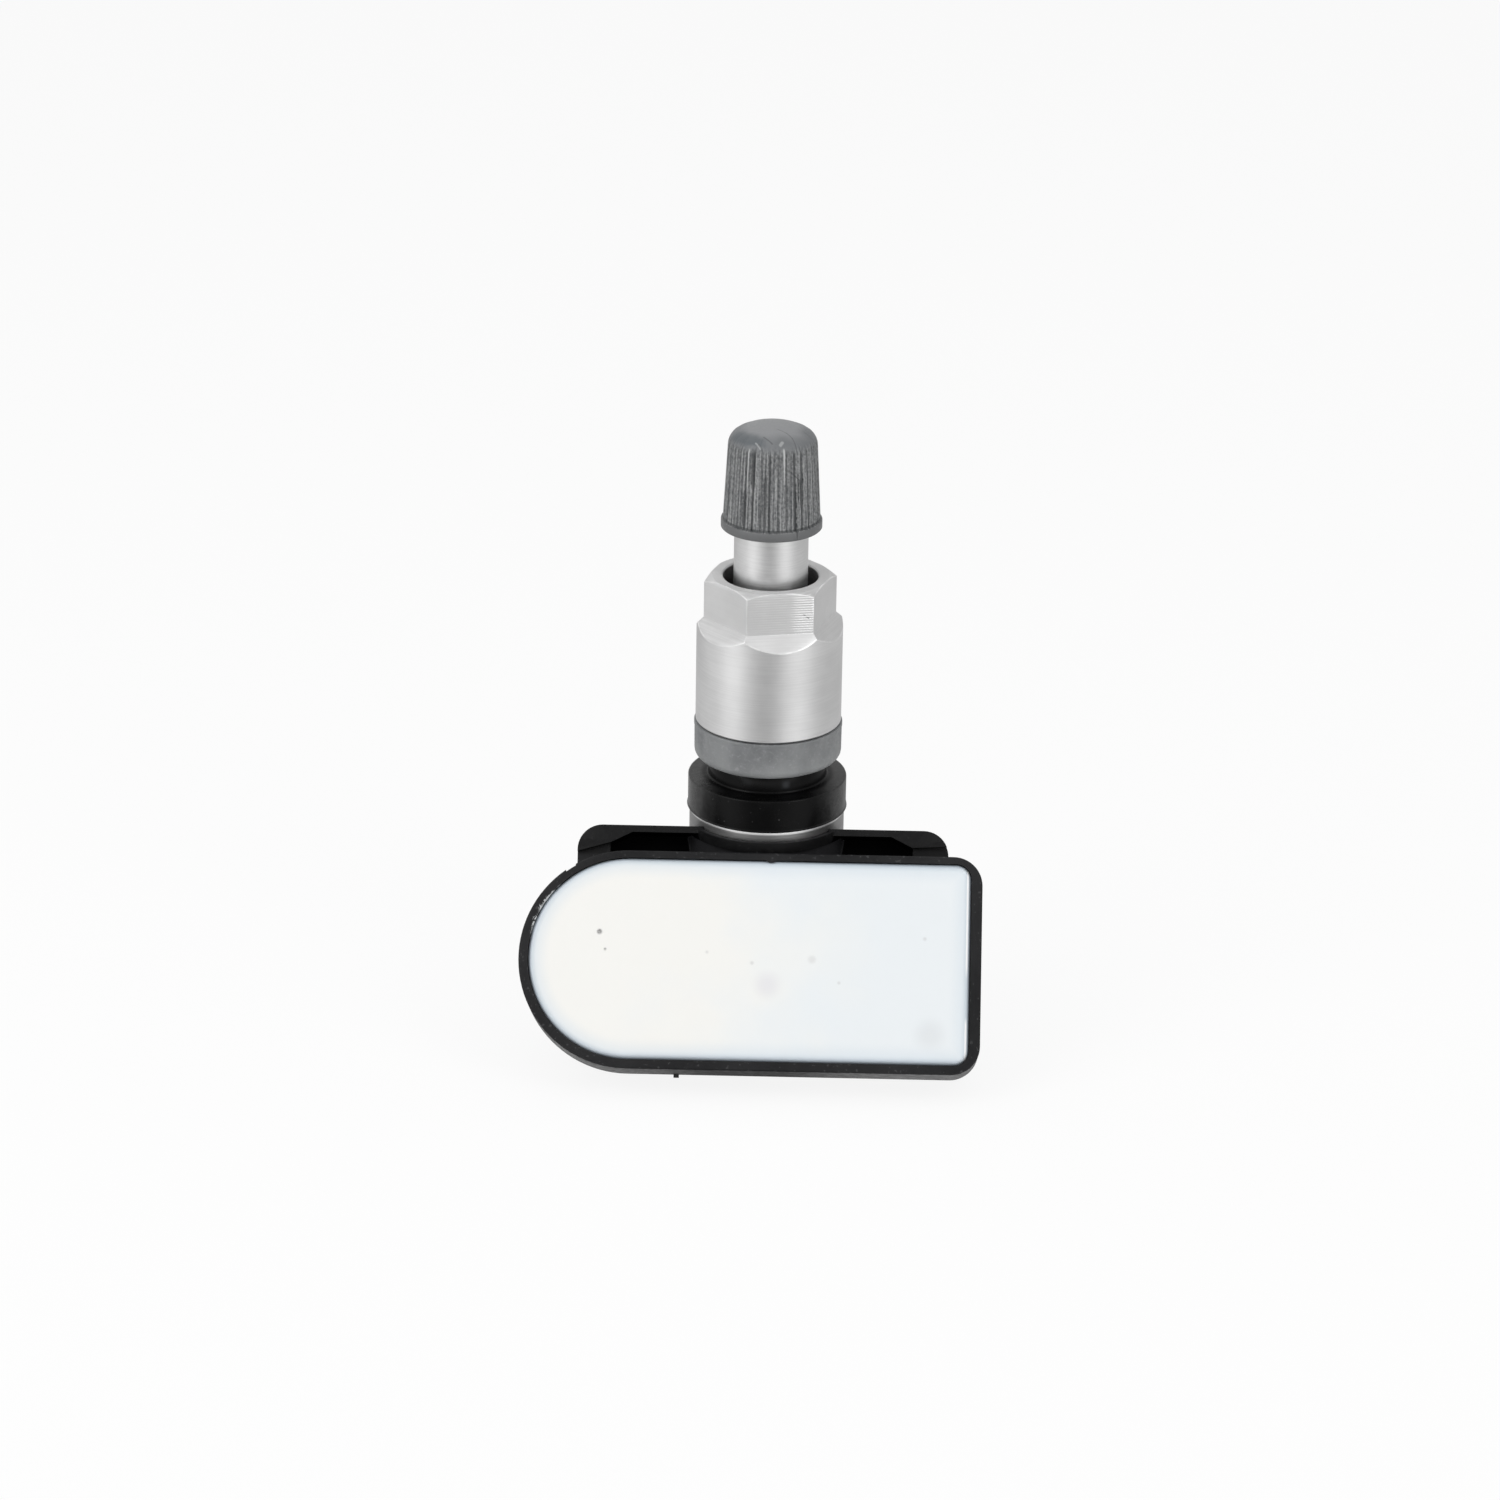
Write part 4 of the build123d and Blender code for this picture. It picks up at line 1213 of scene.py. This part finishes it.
def blackRubber(settings):
    finish = Finish("blackRubber")
    cloud = finish.speckle(200, detail=4)
    grain = finish.speckle(1800, detail=2)
    dust = finish.speckle(2400, detail=1)
    finish.color = finish.blend(finish.vary(cloud), settings["dark"], settings["light"])
    finish.paint(finish.span(dust, 0.75, 0.82, 0, 0.4), settings["dust"])
    x, y, z = finish.place()
    turn = finish.azimuth()
    # the flange's two sides are painted paler: sheen, with some dust
    aside = finish.span(finish.calc("ABSOLUTE", turn), *settings["sheenTurn"])
    dustAndSheen = finish.times(aside, finish.span(finish.reach(x, y), *settings["sheenRadius"]))
    finish.paint(finish.times(dustAndSheen, finish.vary(grain, 0.6, 1)), settings["sheen"])
    # painted sheen patches on the neck
    for azimuth, half, height, strength in settings["neckSheenPatches"]:
        sheenPatch = finish.times(finish.near(turn, math.radians(azimuth), 0, math.radians(half)),
                           finish.near(z, height * mm, 0.1 * mm, 0.6 * mm),
                           finish.span(cloud, 0.35, 0.6, 0.4 * strength, strength))
        finish.paint(sheenPatch, settings["neckSheen"])
    finish.plug(finish.shader.inputs["Specular IOR Level"], finish.span(dustAndSheen, 0, 1, *settings["shine"]))
    return finish.close(finish.vary(cloud, *settings["roughness"]), finish.relief(grain, *settings["relief"]))


def makeGrommet(settings):
    bore, bottom, top, edge = take(settings, "bore", "bottom", "top", "edge")
    rim, lip, lipHeight, lipEdge = take(settings, "lipRadius", "lip", "lipHeight", "lipEdge")
    neck, neckTop, foot = take(settings, "neck", "neckTop", "neckFoot")
    step, stepEdge = take(settings, "stepHeight", "stepEdge")
    flange = rim - lip
    profile = [
        (bore, bottom),
        (rim - lipEdge, bottom),
        (rim, bottom + lipEdge),
        (flange + lip * 0.6, bottom + lipHeight * 0.7),
        (flange, bottom + lipHeight),
        (flange, -edge),
        (flange - edge * 0.3, -edge * 0.3),
        (flange - edge, 0),
        (neck + foot, 0),
        (neck + foot * 0.28, foot * 0.28),
        (neck, foot),
        (neck, step - stepEdge),
        (neck - stepEdge, step),
        (neckTop, step),
        (neckTop, top),
        (bore, top),
    ]
    piece = closedTurn("rubberGrommet", profile, settings["sides"])
    smooth(piece, settings["smoothAngle"])
    standFor(piece, "rubber_grommet", "sensor_body", blackRubber(settings))


makeGrommet(grommetSet)


# sliding washer: a shallow cup under the nut
washerSet = {
    "sides": 128,
    "bore": 5.96,
    "radius": boxes["nut_washer"][1].x,
    "bottom": boxes["nut_washer"][0].z,
    "top": boxes["nut_washer"][1].z,
    "cup": 7.03,
    "cupFloor": boxes["collar_nut"][0].z,  # the nut sits in the cup
    "edge": 0.9,
    "edgeAngles": (-90, -72, -54, -36, -18, 0),
    "band": 0.42,  # a slightly wider band at the top
    "bandEdge": 0.06,
    "bandStep": 0.08,
    "smoothAngle": 40,
    "roughness": (0.42, 0.6),
    "relief": (0.03 * mm, 0.6),  # depth and strength
    "dark": (0.135, 0.14, 0.146, 1),
    "light": (0.225, 0.232, 0.236, 1),
    "scuff": (0.36, 0.37, 0.37, 1),
}


def washerPlastic(settings):
    finish = Finish("washerPlastic")
    cloud = finish.noise(finish.stretch((260, 260, 160)), detail=4)
    grain = finish.speckle(2000, detail=3)
    scratch = finish.noise(finish.around(16, 2600), detail=5, roughness=0.7, distortion=0.6)
    finish.color = finish.blend(finish.vary(cloud), settings["dark"], settings["light"])
    finish.paint(finish.span(scratch, 0.5, 0.7, 0, 0.32), settings["scuff"])
    x, y, z = finish.place()
    worn = finish.span(z, settings["bottom"] * mm, (settings["top"] - 1) * mm, 0.3, 0)
    finish.paint(worn, settings["scuff"])
    return finish.close(finish.vary(grain, *settings["roughness"]), finish.relief(grain, *settings["relief"]))


def makeWasher(settings):
    bore, radius, bottom, top = take(settings, "bore", "radius", "bottom", "top")
    edge, band, bandEdge, bandStep = take(settings, "edge", "band", "bandEdge", "bandStep")
    cup, cupFloor = take(settings, "cup", "cupFloor")
    profile = [(bore, bottom)]
    for angle in settings["edgeAngles"]:
        turn = math.radians(angle)
        reach = radius - bandEdge - edge + edge * math.cos(turn)
        profile.append((reach, bottom + edge + edge * math.sin(turn)))
    profile += [
        (radius - bandEdge * 2 / 3, top - band - bandStep),
        (radius, top - band),
        (radius, top - bandEdge),
        (radius - bandEdge, top),
        (cup, top),
        (cup, cupFloor),
        (bore, cupFloor),
    ]
    piece = closedTurn("slidingWasher", profile, settings["sides"])
    smooth(piece, settings["smoothAngle"])
    standFor(piece, "nut_washer", "washer", washerPlastic(settings))


makeWasher(washerSet)


# inner pieces keep the solids' shapes, each slot with its own finish
innerSet = {
    # slot: metallic, roughness low and high, dark colour, light colour, grain scale, grain depth
    "seal_rubber": (0, 0.45, 0.6, gray(0.018), gray(0.035), 900, 0.02),
    "core_brass": (1, 0.22, 0.36, (0.62, 0.44, 0.18, 1), (0.78, 0.6, 0.3, 1), 1400, 0.008),
    "spring_steel": (1, 0.25, 0.4, gray(0.5), gray(0.68), 1400, 0.008),
    "screw_steel": (1, 0.28, 0.42, gray(0.5), (0.6464, 0.64, 0.6336, 1), 1100, 0.01),
    "cell_steel": (1, 0.24, 0.38, gray(0.58), gray(0.7), 700, 0.008),
    "board_laminate": (0, 0.35, 0.5, (0.02, 0.12, 0.05, 1), (0.04, 0.2, 0.09, 1), 1000, 0.015),
    "tab_nickel": (1, 0.25, 0.4, (0.6, 0.58, 0.53, 1), (0.74, 0.72, 0.67, 1), 900, 0.008),
    "chip_plastic": (0, 0.5, 0.65, gray(0.02), gray(0.045), 2200, 0.02),
    "coil_ferrite": (0, 0.55, 0.7, gray(0.05), gray(0.09), 1600, 0.02),
    "winding_copper": (1, 0.3, 0.42, (0.6, 0.26, 0.12, 1), (0.78, 0.42, 0.22, 1), 1500, 0.02),
    "capacitor_ceramic": (0, 0.4, 0.55, (0.46, 0.34, 0.21, 1), (0.6, 0.47, 0.32, 1), 1800, 0.012),
}


def innerFinish(slot, settings):
    metallic, low, high, dark, light, scale, depth = settings
    finish = Finish("inner_" + slot, metallic=metallic)
    cloud = finish.speckle(scale / 6, detail=3)
    grain = finish.noise(finish.stretch((scale, scale, scale * 1.6)), detail=3)
    finish.color = finish.blend(finish.vary(cloud), dark, light)
    return finish.close(finish.vary(grain, low, high), finish.relief(grain, depth * mm, 0.7))


def finishInner(settings):
    slotOf = {part["node"]: part["material_slot"] for part in frame["record"]["subparts"]}
    made = {slot: innerFinish(slot, values) for slot, values in settings.items()}
    for name, node in nodes.items():
        if slotOf[name] not in made:
            continue
        for holder in node.material_slots:
            holder.material = made[slotOf[name]]
    print("inner finishes:", len(made))


finishInner(innerSet)


# the valve core's spring, which shortens between its seat and the pin's collar as the pin goes down in the
# real valve: a smoothed copy of the solid, with a mesh of its own
springSet = {
    "joint": "core_press",
    "smoothAngle": 75,
}


def makeSpring(settings):
    piece = cadCopy("core_spring", "coreSpring")
    smooth(piece, settings["smoothAngle"])
    wire = nodes["core_spring"].material_slots[0].material
    standFor(piece, "core_spring", "core", wire)
    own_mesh(piece)


makeSpring(springSet)
